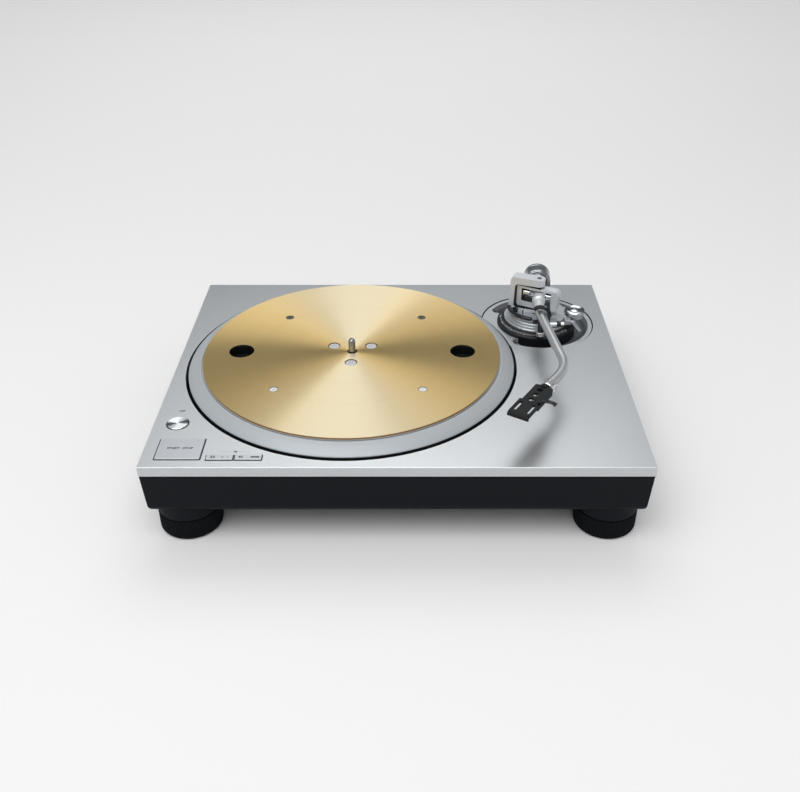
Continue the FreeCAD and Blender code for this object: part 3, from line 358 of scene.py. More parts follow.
@dataclass(frozen=True)
class TurnedMetal(Finish):
    """Metal turned on a lathe: fine rings about the vertical axis, with a highlight that runs outwards."""

    centre: Point = (0, 0, 0)
    stretch: float = 0.8
    rings: float = 2400.0
    shade: float = 0.1
    metallic: float = 1.0
    depth: float = 0.00001
    turn: float = 0.0
    broad_rings: float = 2400.0 / 22
    specks: float = 700.0
    outwards: float = 0.25
    relief: float = 0.2

    def paint(self, bench: Bench) -> None:
        """Rings in colour, roughness and height."""
        across, along, _ = bench.parts(bench.placed(self.centre, turn=self.turn))
        reach = (across * across + along * along).single("SQRT")
        line = bench.node("ShaderNodeCombineXYZ", {}, {0: reach}).outputs[0]
        grooves = bench.noise(line, self.rings, 3.0, 0.7)
        broad = bench.noise(line, self.broad_rings, 2.0)
        speck = bench.noise(bench.coordinates, self.specks, 2.0)
        level = (grooves - 0.5) * 0.7 + (broad - 0.5) * 0.5 + (speck - 0.5) * 0.15 + 0.5
        side = (across / (reach + 0.0001)).single("ABSOLUTE")
        dark = self.hue(bench, side, 1 - self.shade)
        light = self.hue(bench, side, 1 + self.shade)
        self.coloured(bench, bench.blend(bench.step(level, 0.25, 0.75), dark, light), self.metallic)
        bench.set(Roughness=(broad - 0.5) * 0.05 + (speck - 0.5) * 0.04 + self.roughness,
                  Anisotropic=self.stretch, Anisotropic_Rotation=self.outwards)
        bench.dents(grooves, self.relief, self.depth)

    def hue(self, bench: Bench, side: Wire, factor: float) -> Any:
        """The metal's colour, made darker or lighter.

        Args:
            bench: The material's bench.
            side: 1 to the left and right of the axis, 0 in front and behind.
            factor: Darker below 1, lighter above it.

        Returns:
            A colour or a socket.
        """
        return scaled(self.colour, factor)


@dataclass(frozen=True)
class SpunPlateWithPaintedWedges(TurnedMetal):
    """A spun plate with painted reflection wedges: its own colour in front and behind stands as painted highlight, and
    the wedge shade colour at both sides as painted shade.
    """

    # Colour of the painted shade at both sides of the axis.
    wedge_shade: Colour = (0.5, 0.5, 0.5, 1.0)
    start: float = 0.12
    full: float = 0.92

    def hue(self, bench: Bench, side: Wire, factor: float) -> Any:
        """Changes round the axis from the painted highlight colour in front and behind to the painted shade colour at
        both sides.
        """
        return bench.blend(bench.step(side, self.start, self.full), scaled(self.colour, factor),
                           scaled(self.wedge_shade, factor))


@dataclass(frozen=True)
class Moulded(Finish):
    """Moulded plastic, rubber or textured black paint with a fine grain."""

    grain: float = 1800.0
    depth: float = 0.00006
    lift: float = 0.35
    gloss: float = 0.5
    dust_scale: float = 24.0
    dust_level: float = 0.055
    relief: float = 0.35

    def paint(self, bench: Bench) -> None:
        """Fine pebbles in height, and dusty clouds in colour and roughness."""
        pebbles = bench.noise(bench.coordinates, self.grain, 2.0, 0.6)
        dust = bench.noise(bench.coordinates, self.dust_scale, 3.0)
        cover = self.lift * 0.35
        pale = scaled(self.colour, 1 - 0.2 * cover, self.dust_level * cover)
        bench.set(Base_Color=bench.blend(bench.step(dust, 0.35, 0.8), self.colour, pale),
                  Roughness=(pebbles - 0.5) * 0.14 + (dust - 0.5) * 0.12 + self.roughness,
                  Specular_IOR_Level=self.gloss)
        bench.dents(pebbles, self.relief, self.depth)


@dataclass(frozen=True)
class Polished(Finish):
    """Polished or plated metal with faint wipe marks."""

    metallic: float = 1.0
    marks: float = 0.05
    wipe_stretch: Point = (1, 6, 2)
    wipe_scale: float = 90.0
    film_scale: float = 30.0
    film_shade: float = 0.93

    def paint(self, bench: Bench) -> None:
        """Wipe marks in roughness and a slight change of colour."""
        film = bench.noise(bench.coordinates, self.film_scale, 2.0)
        self.coloured(bench, bench.blend(film, scaled(self.colour, self.film_shade), self.colour), self.metallic)
        bench.set(Roughness=self.wipes(bench) + self.roughness)

    def wipes(self, bench: Bench) -> Wire:
        """Adds faint wipe marks to the height.

        Args:
            bench: The material's bench.

        Returns:
            The change of roughness that goes with them.
        """
        wipes = bench.noise(bench.placed(scale=self.wipe_stretch), self.wipe_scale, 4.0, 0.6)
        bench.dents(wipes, 0.05, 0.00001)
        return (wipes - 0.5) * self.marks


@dataclass(frozen=True)
class Banded(Polished):
    """Plated metal with a band of painted shade across it, black where a groove runs round the piece."""

    axis: Axis = Axis.X
    low: float = 0.0
    high: float = 0.0
    # Colour of the painted shade in the band.
    band: Colour = (0.01, 0.01, 0.012, 1.0)
    band_roughness: float = 0.3
    edge: float = 0.00005

    def paint(self, bench: Bench) -> None:
        """The painted shade band between two places along an axis, over the plating."""
        along = bench.parts(bench.coordinates)[self.axis.value]
        past_low = bench.step(along, self.low - self.edge, self.low + self.edge)
        past_high = bench.step(along, self.high - self.edge, self.high + self.edge)
        inside = past_low * (1 - past_high)
        bench.set(Base_Color=bench.blend(inside, self.colour, self.band), Metallic=(1 - inside) * self.metallic,
                  Roughness=self.wipes(bench) + inside * self.band_roughness + self.roughness)


@dataclass(frozen=True)
class Wound(Finish):
    """Wire or tape wound round an axis, seen as fine lines."""

    pitch: float = 2200.0
    metallic: float = 0.0

    def paint(self, bench: Bench) -> None:
        """Lines across the winding with uneven gloss."""
        strands = bench.value("ShaderNodeTexWave", {"wave_type": "RINGS", "rings_direction": "SPHERICAL"},
                              {"Vector": bench.coordinates, "Scale": self.pitch, "Distortion": 1.5,
                               "Detail": 1.0}, 1)
        bench.set(Base_Color=bench.blend(strands, scaled(self.colour, 0.45), self.colour), Metallic=self.metallic,
                  Roughness=strands * 0.15 + self.roughness)
        bench.dents(strands, 0.5, 0.0001)


@dataclass(frozen=True)
class Board(Finish):
    """Circuit board: lacquered sheet with pale tracks and tinned pads."""

    track_scale: float = 160.0
    pad_scale: float = 220.0
    tin: Colour = tone(190, 190, 180)

    def paint(self, bench: Bench) -> None:
        """Tracks along the edges of cells, pads at the middle of smaller ones."""
        cells = bench.value("ShaderNodeTexVoronoi", {"feature": "DISTANCE_TO_EDGE"},
                            {"Vector": bench.coordinates, "Scale": self.track_scale})
        pads = bench.value("ShaderNodeTexVoronoi", {}, {"Vector": bench.coordinates, "Scale": self.pad_scale})
        tracks = 1 - bench.step(cells, 0.03, 0.06)
        spots = 1 - bench.step(pads, 0.14, 0.2)
        sheet = bench.blend(tracks, self.colour, scaled(self.colour, 2.0, 0.01))
        bench.set(Base_Color=bench.blend(spots, sheet, self.tin), Metallic=spots * 0.8,
                  Roughness=self.roughness + spots * 0.1)
        bench.dents(tracks + spots, 0.3, 0.00005)


@dataclass(frozen=True)
class Lamp(Finish):
    """Translucent lamp window in a key, not lit."""

    def paint(self, bench: Bench) -> None:
        """A faint milky change of tone behind a smooth face."""
        milk = bench.noise(bench.coordinates, 500.0, 2.0)
        pale = scaled(self.colour, 1.4, 0.01)
        bench.set(Base_Color=bench.blend(milk, self.colour, pale), Roughness=milk * 0.1 + self.roughness,
                  Coat_Weight=0.1)


@dataclass(frozen=True)
class Ink(Finish):
    """Screen-printed ink."""

    def paint(self, bench: Bench) -> None:
        """A slightly uneven film."""
        film = bench.noise(bench.coordinates, 1500.0, 2.0)
        pale = scaled(self.colour, 1.25, 0.01)
        bench.set(Base_Color=bench.blend(film, self.colour, pale), Roughness=film * 0.2 + self.roughness)


def round_zones(colour: Colour, centre: Point, out: float, radius: float, angles: Sequence[float]) -> Tuple[Zone, ...]:
    """Round zones on a circle.

    Args:
        colour: Their colour.
        centre: The circle's centre.
        out: The circle's radius.
        radius: The zones' own radius.
        angles: Their places round the circle, in degrees.

    Returns:
        One zone for each angle, of any height.
    """
    turns = [math.radians(angle) for angle in angles]
    return tuple(Zone(colour, centre=(centre[0] + out * math.cos(turn), centre[1] + out * math.sin(turn), 0.0),
                      reach=radius) for turn in turns)


PLATTER_AXIS: Point = (-0.048, -0.0085, 0.1)
ARM_AXIS: Point = (0.150, 0.0753, 0.1)
ARM_FOOT: Point = (0.150, 0.0753, 0.0)
GIMBAL_TURN = -27.0
YOKE_TURN = -20.0
DIAL_AXIS: Point = (-0.2042, -0.1198, 0.088)
SKATE_AXIS: Point = (0.190, 0.068, 0.1078)

# Painted shade: black for gaps, holes, walls and windows where shade falls.
SHADE_BLACK = tone(10, 11, 13)
# Painted shade: dark brown for the shade in the screw seats of the brass plate.
SEAT_SHADE = tone(58, 50, 38)
# Painted shade on the wall of the panel's hole round the arm base.
BASE_WALL_SHADE = Zone(SHADE_BLACK, high=(FAR, FAR, 0.0876), centre=(0.151, 0.0756, 0.0), reach=0.0618)
# Painted shade on the platter casting below the panel top, in the gap round the platter.
RIM_GAP_SHADE = Zone(SHADE_BLACK, high=(FAR, FAR, 0.0892))
# Painted shade: darker brown on the brass plate's side face.
EDGE_SHADE = Zone(tone(142, 104, 56), high=(FAR, FAR, 0.09972))
# Painted shade in the two finger holes.
FINGER_HOLE_SHADE = round_zones(SHADE_BLACK, PLATTER_AXIS, 0.1128, 0.01275, (180, 0))
# Painted shade round the hub screws and the plate screws.
SEAT_SHADES = round_zones(SEAT_SHADE, PLATTER_AXIS, 0.022, 0.0063, (30, 150, 270)) + \
    round_zones(SEAT_SHADE, PLATTER_AXIS, 0.101, 0.0045, (45, 135, 225, 315))

PANEL = GrainedPaint("panel satin silver", tone(198, 201, 203), 0.35, metallic=0.9, contrast=0.10,
                     zones=(BASE_WALL_SHADE,))
# Painted shade: the keys' sides below the top are dark grey.
KEY = GrainedPaint("key satin silver", tone(188, 192, 196), 0.36, metallic=0.7, contrast=0.06,
                   zones=(Zone(tone(44, 48, 52), high=(FAR, FAR, 0.0887)),))
# Black paint; its colour also stands as painted shade in the gap round the platter, the only place where the casting
# shows.
CASTING = Moulded("chassis black paint and gap shade", tone(14, 15, 17), 0.6, grain=900.0, lift=0.1, gloss=0.2)
PLATTER_RIM = TurnedMetal("platter rim", tone(176, 181, 185), 0.45, centre=PLATTER_AXIS, stretch=0.0,
                          metallic=0.25, shade=0.04, zones=(RIM_GAP_SHADE,) + FINGER_HOLE_SHADE)
# Painted highlight and shade: paler in front and behind, deeper colour at both sides, dark in the screw seats, on the
# edge and in the finger holes.
BRASS = SpunPlateWithPaintedWedges("turned brass", tone(214, 202, 172), 0.40, centre=PLATTER_AXIS, stretch=0.98, shade=0.03,
                  wedge_shade=tone(234, 204, 140), zones=SEAT_SHADES + (EDGE_SHADE,) + FINGER_HOLE_SHADE)
# Painted shade: darker grey wedges at both sides, and black round the dial's foot.
DIAL = SpunPlateWithPaintedWedges("spun power dial", tone(236, 237, 239), 0.26, centre=DIAL_AXIS, stretch=0.85, shade=0.04,
                 wedge_shade=tone(96, 101, 107), start=0.84, full=0.99, turn=14.0,
                 zones=(Zone(SHADE_BLACK, high=(FAR, FAR, 0.08845)),))
BASE = GrainedPaint("arm base silver", tone(192, 196, 199), 0.36, metallic=0.8, contrast=0.05)
# Painted shade: darker grey low in the moat round the arm base.
BASE_PLATE = GrainedPaint("arm base plate silver", tone(192, 196, 199), 0.38, metallic=0.75, contrast=0.05,
                          zones=(Zone(tone(66, 70, 76), high=(FAR, FAR, 0.0838), soft=0.0026),))
# Painted shade: black on the ring's left side, on its top under the yoke's arm and in its window.
GIMBAL = GrainedPaint("gimbal silver", tone(206, 210, 215), 0.42, metallic=0.3, contrast=0.04,
                      zones=(Zone(SHADE_BLACK, high=(-0.0227, FAR, FAR), centre=ARM_FOOT, turn=GIMBAL_TURN),
                             Zone(SHADE_BLACK, low=(-FAR, -FAR, 0.1303), high=(0.004, FAR, FAR),
                                  centre=ARM_FOOT, turn=GIMBAL_TURN),
                             Zone(SHADE_BLACK, low=(-0.0173, -FAR, 0.1131), high=(0.0161, FAR, 0.1278),
                                  centre=ARM_FOOT, turn=GIMBAL_TURN)))
ARM = GrainedPaint("arm casting silver", tone(214, 217, 220), 0.42, metallic=0.45, contrast=0.04)
TUBE = Polished("arm tube", tone(206, 209, 212), 0.32, metallic=0.92, marks=0.02)
LEVER = Polished("lever silver", tone(158, 161, 165), 0.34, metallic=0.85)
# Painted shade: black on the inner faces of the yoke's window.
YOKE = GrainedPaint("yoke silver", tone(206, 210, 215), 0.42, metallic=0.3, contrast=0.04,
                    zones=(Zone(SHADE_BLACK, low=(-0.02545, -0.0062, 0.1051), high=(FAR, FAR, 0.13305),
                                centre=ARM_FOOT, turn=YOKE_TURN),))
SPINDLE = Polished("spindle steel", tone(150, 152, 156), 0.12)
CHROME = Polished("bright chrome", tone(222, 223, 226), 0.09)
WEIGHT = Polished("smoked chrome", tone(152, 155, 159), 0.22)
STEEL = Polished("screw steel", tone(190, 190, 190), 0.2)
HUB_SCREW = Polished("hub screw steel", tone(226, 227, 229), 0.22, metallic=0.5)
GOLD = Polished("gold plate", tone(226, 190, 110), 0.15)
# Painted shade: the rear plate screws are darker grey.
BRASS_SCREW = Polished("plate screw", tone(236, 236, 235), 0.22, metallic=0.35,
                       zones=(Zone(tone(92, 90, 84), low=(-FAR, 0.02, -FAR)),))
CABINET = Moulded("cabinet black", tone(14, 18, 23), 0.62, lift=0.05, gloss=0.12)
COVER = Moulded("cover black", tone(30, 31, 33), 0.55, grain=900.0)
FOOT = Moulded("foot rubber", tone(12, 14, 18), 0.7, lift=0.05, gloss=0.1)
RING = Moulded("ring satin black", tone(14, 16, 20), 0.4, grain=2600.0, depth=0.00002, lift=0.1, gloss=0.35)
SHELL = Moulded("headshell black", tone(10, 11, 13), 0.42, grain=2600.0, depth=0.00002, lift=0.1, gloss=0.22)
REST = Moulded("rest gloss black", tone(16, 17, 19), 0.22, grain=2600.0, depth=0.00001, lift=0.1)
SOCKET = Moulded("socket black", tone(24, 25, 27), 0.35, grain=2600.0, depth=0.00002)
DAMPER = Moulded("damper rubber", tone(30, 30, 31), 0.75)
MAGNET = Moulded("magnet", tone(40, 40, 42), 0.6, grain=1200.0)
COIL = Wound("coil wire", tone(186, 104, 56), 0.3, metallic=0.7)
TAPE = Wound("transformer tape", tone(214, 178, 74), 0.35, pitch=900.0)
GREEN = Board("circuit board", tone(28, 92, 56), 0.32)
LEAD = Moulded("lead orange", tone(206, 112, 44), 0.4)
# Painted shade: darker grey wedges at both sides of the dial face.
CLEAR = SpunPlateWithPaintedWedges("dial face", tone(212, 214, 217), 0.2, centre=SKATE_AXIS, stretch=0.9, shade=0.06,
                  wedge_shade=tone(120, 124, 129), start=0.5, full=0.95, turn=-8.0)
PRINT = Ink("dark print", tone(14, 15, 18), 0.6)
PALE_PRINT = Ink("pale print", tone(128, 133, 138), 0.5)
WHITE_PRINT = Ink("white print", tone(214, 216, 218), 0.45)
LAMP_DARK = Lamp("lamp dark", tone(6, 6, 7), 0.7)
# Painted shade: the black band lies in the lock knob's groove, where shade falls.
KNOB = Banded("banded chrome", tone(222, 223, 226), 0.09, low=0.1688, high=0.1726)

NODE_FINISH: Dict[str, Finish] = {
    "top_panel": PANEL, "chassis_casting": CASTING, "cabinet": CABINET, "bottom_cover": COVER,
    "bottom_screws": STEEL, "rear_plate": COVER, "phono_jacks": GOLD, "ground_post": CHROME,
    "mains_inlet": SOCKET, "hinge_sockets": CABINET, "start_stop_button": KEY,
    "speed_33_button": KEY, "speed_45_button": KEY, "power_dial": DIAL, "button_switches": SOCKET,
    "control_board": GREEN, "transformer": TAPE, "power_board": GREEN, "foot_front_left": FOOT,
    "foot_front_right": FOOT, "foot_rear_left": FOOT, "foot_rear_right": FOOT, "brass_plate": BRASS,
    "platter_casting": PLATTER_RIM, "plate_screws": BRASS_SCREW, "hub_screws": HUB_SCREW,
    "platter_damper": DAMPER, "rotor_yoke": STEEL, "rotor_magnet": MAGNET, "spindle": SPINDLE,
    "bearing_housing": STEEL, "stator_core": STEEL, "stator_board": GREEN, "stator_coils": COIL,
    "arm_base_plate": BASE_PLATE, "height_ring": RING, "arm_drum": BASE, "yoke": YOKE,
    "vertical_pivots": STEEL, "gimbal_ring": GIMBAL, "side_pivots": CHROME, "arm_sleeve": ARM,
    "arm_tube": TUBE, "locking_collar": CHROME, "headshell": SHELL, "finger_lift": REST,
    "shell_leads": LEAD, "rear_shaft": CHROME, "balance_sleeve": SOCKET, "counterweight": WEIGHT,
    "scale_ring": WEIGHT, "rest_post": REST, "arm_clip": REST, "cue_cylinder": CHROME,
    "cue_bar": REST, "antiskate_housing": BASE, "antiskate_dial": CLEAR, "lock_knob": KNOB,
    "cue_lever": LEVER, "stop_screw": CHROME,
}


def deselect() -> None:
    """Leaves object mode with nothing selected."""
    if bpy.context.object is not None and bpy.context.object.mode != "OBJECT":
        bpy.ops.object.mode_set(mode="OBJECT")
    bpy.ops.object.select_all(action="DESELECT")


def settle(piece: bpy.types.Object) -> bpy.types.Object:
    """Puts a piece's place, turn and scale into its mesh."""
    deselect()
    piece.select_set(True)
    bpy.context.view_layer.objects.active = piece
    bpy.ops.object.transform_apply(location=True, rotation=True, scale=True)
    return piece


def joined(name: str, pieces: List[bpy.types.Object]) -> bpy.types.Object:
    """Joins pieces into one and names it."""
    deselect()
    for piece in pieces:
        piece.select_set(True)
    bpy.context.view_layer.objects.active = pieces[0]
    bpy.ops.object.join()
    whole = bpy.context.view_layer.objects.active
    whole.name = name
    return settle(whole)


def dress(piece: bpy.types.Object, finish: Finish, body: str) -> bpy.types.Object:
    """Gives a piece its finish and the body that it rides on, and reports it."""
    piece.data.materials.clear()
    piece.data.materials.append(finish.material())
    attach(piece, body)
    log.info("%s rides on %s with %s", piece.name, body, finish.name)
    return piece


class Measure(Enum):
    """The side of printed words whose size is given."""

    WIDTH = 0
    HEIGHT = 1


@dataclass
class Words:
    """Small printed words or numbers that lie on a face."""

    text: str
    name: str
    place: Point
    size: float
    finish: Finish
    body: str
    measure: Measure = Measure.WIDTH
    thickness: float = 0.00004
    letter: float = 0.01
    bolder: float = 0.00026
    curve_steps: int = 3

    def shape(self) -> bpy.types.Object:
        """Writes the words, makes them a mesh of the asked size and thickness and lays them down.

        Returns:
            The mesh, without a finish.
        """
        deselect()
        bpy.ops.object.text_add(location=(0, 0, 0))
        letters = bpy.context.object.data
        letters.body = self.text
        letters.align_x = "CENTER"
        letters.align_y = "CENTER"
        letters.size = self.letter
        letters.resolution_u = self.curve_steps
        letters.offset = self.bolder
        bpy.ops.object.convert(target="MESH")
        words = bpy.context.object
        bpy.context.view_layer.update()
        words.scale = [self.size / words.dimensions[self.measure.value]] * 3
        settle(words)
        bpy.ops.object.mode_set(mode="EDIT")
        bpy.ops.mesh.select_all(action="SELECT")
        bpy.ops.mesh.extrude_region_move(TRANSFORM_OT_translate={"value": (0, 0, self.thickness)})
        bpy.ops.object.mode_set(mode="OBJECT")
        words.location = self.place
        words.name = self.name
        return settle(words)

    def build(self) -> bpy.types.Object:
        """Shapes the words and gives them their finish."""
        return dress(self.shape(), self.finish, self.body)


@dataclass
class Bar:
    """A thin printed line that lies on a face, from corner to corner."""

    name: str
    low: Point
    high: Point
    eased: float = 0.00001

    def build(self) -> bpy.types.Object:
        """Makes the line from a box at its size and place, with its edges eased."""
        deselect()
        middle = [(a + b) / 2 for a, b in zip(self.low, self.high)]
        bpy.ops.mesh.primitive_cube_add(size=1, location=middle)
        bar = bpy.context.object
        bar.scale = [b - a for a, b in zip(self.low, self.high)]
        bar.name = self.name
        settle(bar)
        ease = bar.modifiers.new("ease", "BEVEL")
        ease.width = self.eased
        ease.segments = 1
        bpy.ops.object.modifier_apply(modifier=ease.name)
        return bar


@dataclass
class Solids:
    """The carried-over solids, each with its finish."""

    nodes: Dict[str, bpy.types.Object]

    def dress(self) -> None:
        """Assigns every node its material."""
        for name, node in self.nodes.items():
            node.data.materials.clear()
            node.data.materials.append(NODE_FINISH[name].material())
            log.info("node %s with %s", name, NODE_FINISH[name].name)


@dataclass
class ControlPrint:
    """Words, lines and marks of the keys and of the power dial at the front left, in metres."""

    key_top: float = 0.089
    panel_top: float = 0.088
    film: float = 0.00003
    key_row: float = -0.17205
    start_stop: Pair = (-0.1937, -0.1592)
    start_stop_width: float = 0.0232
    number_33_x: float = -0.1626
    number_45_x: float = -0.1376
    number_width: float = 0.0042
    number_78: Pair = (-0.1439, -0.1633)
    number_78_width: float = 0.0036
    power_word: Pair = (-0.2042, -0.0994)
    power_word_width: float = 0.0058
    bracket_y: float = -0.1632
    bracket_runs: Tuple[Pair, Pair] = ((-0.1568, -0.1466), (-0.1412, -0.1310))
    bracket_foot: float = 0.0016
    bracket_half: float = 0.00014
    # Painted shade lines in the large key's gap: their left ends, width and run.
    gap_shade_lefts: Pair = (-0.21475, -0.17325)
    gap_shade_width: float = 0.0006
    gap_shade_run: Pair = (-0.1750, -0.1443)
    marks: Tuple[Pair, Pair] = ((-0.1546, -0.1532), (-0.1496, -0.1486))
    mark_half: float = 0.0004
    window: Pair = (-0.1290, -0.1212)
    window_half: float = 0.0009

    def build(self) -> None:
        """Prints the keys, the bracket with its number and the dial's word."""
        Words("START · STOP", "start_stop_words", (*self.start_stop, self.key_top), self.start_stop_width, PRINT,
              "start_stop_button").build()
        Words("33", "number_33", (self.number_33_x, self.key_row, self.key_top), self.number_width, PRINT,
              "speed_33_button").build()
        Words("45", "number_45", (self.number_45_x, self.key_row, self.key_top), self.number_width, PRINT,
              "speed_45_button").build()
        Words("78", "number_78", (*self.number_78, self.panel_top), self.number_78_width, PRINT, "deck").build()
        Words("OFF", "power_word", (*self.power_word, self.panel_top), self.power_word_width, PRINT, "deck").build()
        self.bracket()
        self.gap_shade_lines()
        self.marks_33()
        self.lamp_45()

    def bracket(self) -> None:
        """The line behind the two speed keys, open in the middle for the number, with a foot at each end."""
        low, high, half = self.panel_top, self.panel_top + self.film, self.bracket_half
        front, back = self.bracket_y - half, self.bracket_y + half
        ends = (self.bracket_runs[0][0], self.bracket_runs[1][1])
        lines = [Bar("run", (left, front, low), (right, back, high)).build() for left, right in self.bracket_runs]
        lines += [Bar("run", (x - half, self.bracket_y - self.bracket_foot, low), (x + half, back, high)).build()
                  for x in ends]
        dress(joined("bracket_78", lines), PALE_PRINT, "deck")

    def gap_shade_lines(self) -> None:
        """Painted shade: dark lines down both sides of the large key, in its gap."""
        low, high = self.panel_top, self.panel_top + self.film
        front, back = self.gap_shade_run
        lines = [Bar("line", (x, front, low), (x + self.gap_shade_width, back, high)).build() for x in self.gap_shade_lefts]
        dress(joined("key_gap_shade", lines), PRINT, "deck")

    def marks_33(self) -> None:
        """A short line and a dot at the right end of the 33 key."""
        lines = [self.on_key("mark", mark, self.mark_half) for mark in self.marks]
        dress(joined("marks_33", lines), PRINT, "speed_33_button")

    def lamp_45(self) -> None:
        """The dark window over the 45 key's slot."""
        dress(self.on_key("lamp_45", self.window, self.window_half), LAMP_DARK, "speed_45_button")

    def on_key(self, name: str, run: Pair, half: float) -> bpy.types.Object:
        """A line on top of a speed key.

        Args:
            name: The line's name.
            run: Its left and right ends.
            half: Half of its width.

        Returns:
            The line, without a finish.
        """
        low = (run[0], self.key_row - half, self.key_top)
        high = (run[1], self.key_row + half, self.key_top + self.film)
        return Bar(name, low, high).build()


@dataclass
class RingScale:
    """White marks and numbers on the black height ring's cone, and the index on the drum."""

    centre: Point = ARM_AXIS
    reach: float = 0.0390
    height: float = 0.09254
    slope: float = 31.0
    marks: int = 61
    numbers: int = 7
    first: float = 168.0
    last: float = 312.0
    long_mark: float = 0.0030
    short_mark: float = 0.0017
    mark_half: float = 0.00013
    mark_heights: Pair = (-0.00002, 0.00003)
    number_turn: float = 4.5
    number_out: float = 0.0006
    number_height: float = 0.0018
    index_angle: float = 236.5
    index_reach: float = 0.03548
    index_low: Point = (-0.00005, -0.0003, 0.0945)
    index_high: Point = (0.00007, 0.0003, 0.0961)

    def build(self) -> None:
        """Lays the marks round the cone and prints a number at each longer one."""
        small_steps = (self.marks - 1) // (self.numbers - 1)
        ticks = [self.tick(self.angle(step / (self.marks - 1)),
                           self.short_mark if step % small_steps else self.long_mark)
                 for step in range(self.marks)]
        dress(joined("ring_marks", ticks), WHITE_PRINT, "height_ring")
        for number in range(self.numbers):
            self.number(str(number), self.angle(number / (self.numbers - 1)) + self.number_turn)
        self.index()

    def angle(self, share: float) -> float:
        """The angle in degrees at a share of the scale."""
        return self.first + (self.last - self.first) * share

    def tick(self, angle: float, length: float) -> bpy.types.Object:
        """One mark, laid on the cone."""
        low, high = self.mark_heights
        mark = Bar("tick", (-length / 2, -self.mark_half, low), (length / 2, self.mark_half, high)).build()
        return self.lay(mark, angle, self.reach)

    def lay(self, mark: bpy.types.Object, angle: float, reach: float) -> bpy.types.Object:
        """Tilts a flat mark to the cone, then turns it about the ring's axis.

        Args:
            mark: A mark at the origin, with its outer end along x.
            angle: Place round the ring, in degrees.
            reach: Distance from the ring's axis.

        Returns:
            The mark in its place.
        """
        turn = math.radians(angle)
        drop = (reach - self.reach) * math.tan(math.radians(self.slope))
        mark.rotation_euler = (0, math.radians(self.slope), turn)
        mark.location = (self.centre[0] + reach * math.cos(turn), self.centre[1] + reach * math.sin(turn),
                         self.height - drop)
        return settle(mark)

    def number(self, text: str, angle: float) -> None:
        """One number of the scale, read from outside the ring."""
        number = Words(text, "ring_number_" + text, (0, 0, 0), self.number_height, WHITE_PRINT, "height_ring",
                       Measure.HEIGHT).shape()
        number.rotation_euler = (0, 0, math.radians(90))
        settle(number)
        dress(self.lay(number, angle, self.reach + self.number_out), WHITE_PRINT, "height_ring")

    def index(self) -> None:
        """The black index line on the drum's side."""
        turn = math.radians(self.index_angle)
        line = Bar("drum_index", self.index_low, self.index_high).build()
        line.rotation_euler = (0, 0, turn)
        line.location = (self.centre[0] + self.index_reach * math.cos(turn),
                         self.centre[1] + self.index_reach * math.sin(turn), 0)
        dress(settle(line), PRINT, "arm_base")


@dataclass(frozen=True)
class SoftBox:
    """One rectangular soft light aimed at a point."""

    name: str
    place: Point
    aim: Point
    size: Pair
    power: float

    def build(self) -> None:
        """Adds the light to the scene."""
        data = bpy.data.lights.new(self.name, "AREA")
        data.shape = "RECTANGLE"
        data.size, data.size_y = self.size
        data.energy = self.power
        lamp = bpy.data.objects.new(self.name, data)
        bpy.context.scene.collection.objects.link(lamp)
        lamp.location = self.place
        lamp.rotation_euler = (Vector(self.aim) - Vector(self.place)).to_track_quat("-Z", "Y").to_euler()


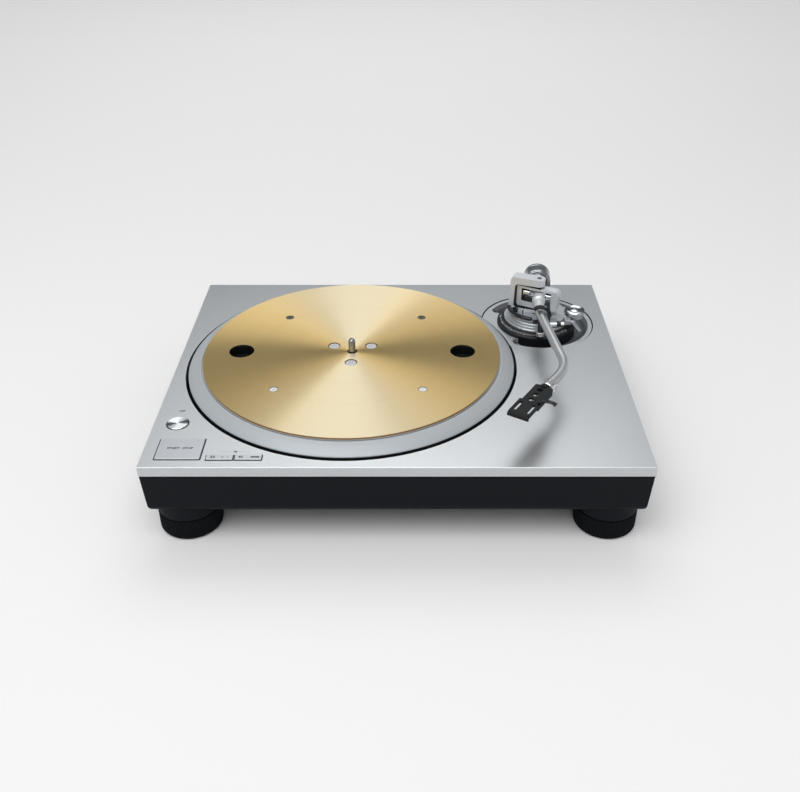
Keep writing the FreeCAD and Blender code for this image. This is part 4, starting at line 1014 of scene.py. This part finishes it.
@dataclass
class Surroundings:
    """Pale floor, soft studio light and the camera of the photograph."""

    floor_size: float = 14.0
    floor_y: float = 2.0
    near: Colour = tone(240, 240, 240)
    middle: Colour = tone(233, 233, 233)
    far: Colour = tone(250, 250, 250)
    glow: Colour = tone(92, 92, 92)
    near_fade: Pair = (-0.4, 0.8)
    far_fade: Pair = (0.9, 3.0)
    glow_fade: Pair = (0.2, 3.0)
    unevenness: float = 0.1
    around: float = 0.42
    behind: Colour = (0.2604, 0.2716, 0.28, 1.0)
    behind_fade: Pair = (0.62, 0.86)
    back_light: SoftBox = SoftBox("back light", (-0.04, 1.40, 2.15), (0, 0, 0.05), (1.9, 1.6), 15.0)
    front_light: SoftBox = SoftBox("front light", (-0.5, -1.3, 2.5), (0, 0, 0.05), (3.4, 2.4), 56.0)
    shadow_light: SoftBox = SoftBox("shadow light", (-0.12, 1.75, 2.00), (0, 0, 0.1), (0.5, 0.4), 0.8)
    camera_place: Point = (0.0132, -0.8158, 0.5795)
    camera_pitch: float = 33.51
    picture_width: float = 800.0
    focal_pixels: float = 917.8
    shift_pixels: float = -12.1
    sensor: float = 36.0
    sight: float = 60.0

    def floor(self) -> None:
        """A wide pale floor whose tone changes a little with the distance."""
        deselect()
        bpy.ops.mesh.primitive_plane_add(size=self.floor_size, location=(0, self.floor_y, 0))
        plane = settle(bpy.context.object)
        plane.name = "floor"
        bench = Bench("floor pale")
        depth = bench.parts(bench.coordinates)[1]
        paper = bench.noise(bench.coordinates, 3.0, 1.0)
        place = depth + (paper - 0.5) * self.unevenness
        close = bench.blend(bench.step(place, *self.near_fade), self.near, self.middle)
        seen = bench.value("ShaderNodeLightPath", output="Is Camera Ray")
        lift = bench.blend(bench.step(place, *self.glow_fade) * seen, tone(0, 0, 0), self.glow)
        bench.set(Base_Color=bench.blend(bench.step(place, *self.far_fade), close, self.far), Roughness=0.9,
                  Specular_IOR_Level=0.1, Emission_Color=lift, Emission_Strength=1.0)
        plane.data.materials.append(bench.material)

    def world(self) -> None:
        """Plain grey-white light from all round, weaker from straight behind the object."""
        sky = Sky("studio")
        rear = sky.step(sky.parts(sky.coordinates)[1], *self.behind_fade)
        full = (self.around, self.around, self.around, 1.0)
        sky.feed(sky.shader.inputs["Color"], sky.blend(rear, full, self.behind))
        bpy.context.scene.world = sky.material

    def lights(self) -> None:
        """A large light behind and above, a wide one over the front and a small one for the arm's shadow."""
        for light in (self.back_light, self.front_light, self.shadow_light):
            light.build()

    def camera(self) -> None:
        """The camera at the photograph's height, pitch and lens."""
        data = bpy.data.cameras.new("camera")
        data.sensor_fit = "HORIZONTAL"
        data.sensor_width = self.sensor
        data.lens = self.focal_pixels * self.sensor / self.picture_width
        data.shift_x = self.shift_pixels / self.picture_width
        data.clip_end = self.sight
        camera = bpy.data.objects.new("camera", data)
        bpy.context.scene.collection.objects.link(camera)
        camera.location = self.camera_place
        camera.rotation_euler = (math.radians(90 - self.camera_pitch), 0, 0)
        bpy.context.scene.camera = camera

    def build(self) -> None:
        """Floor, light and camera."""
        self.floor()
        self.world()
        self.lights()
        self.camera()
        bpy.context.scene.view_settings.view_transform = "Standard"


def main() -> None:
    """Builds the scene in order."""
    logging.basicConfig(level=logging.INFO)
    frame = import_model()
    Surroundings().build()
    Solids(frame["nodes"]).dress()
    ControlPrint().build()
    RingScale().build()


if __name__ == "__main__":
    main()
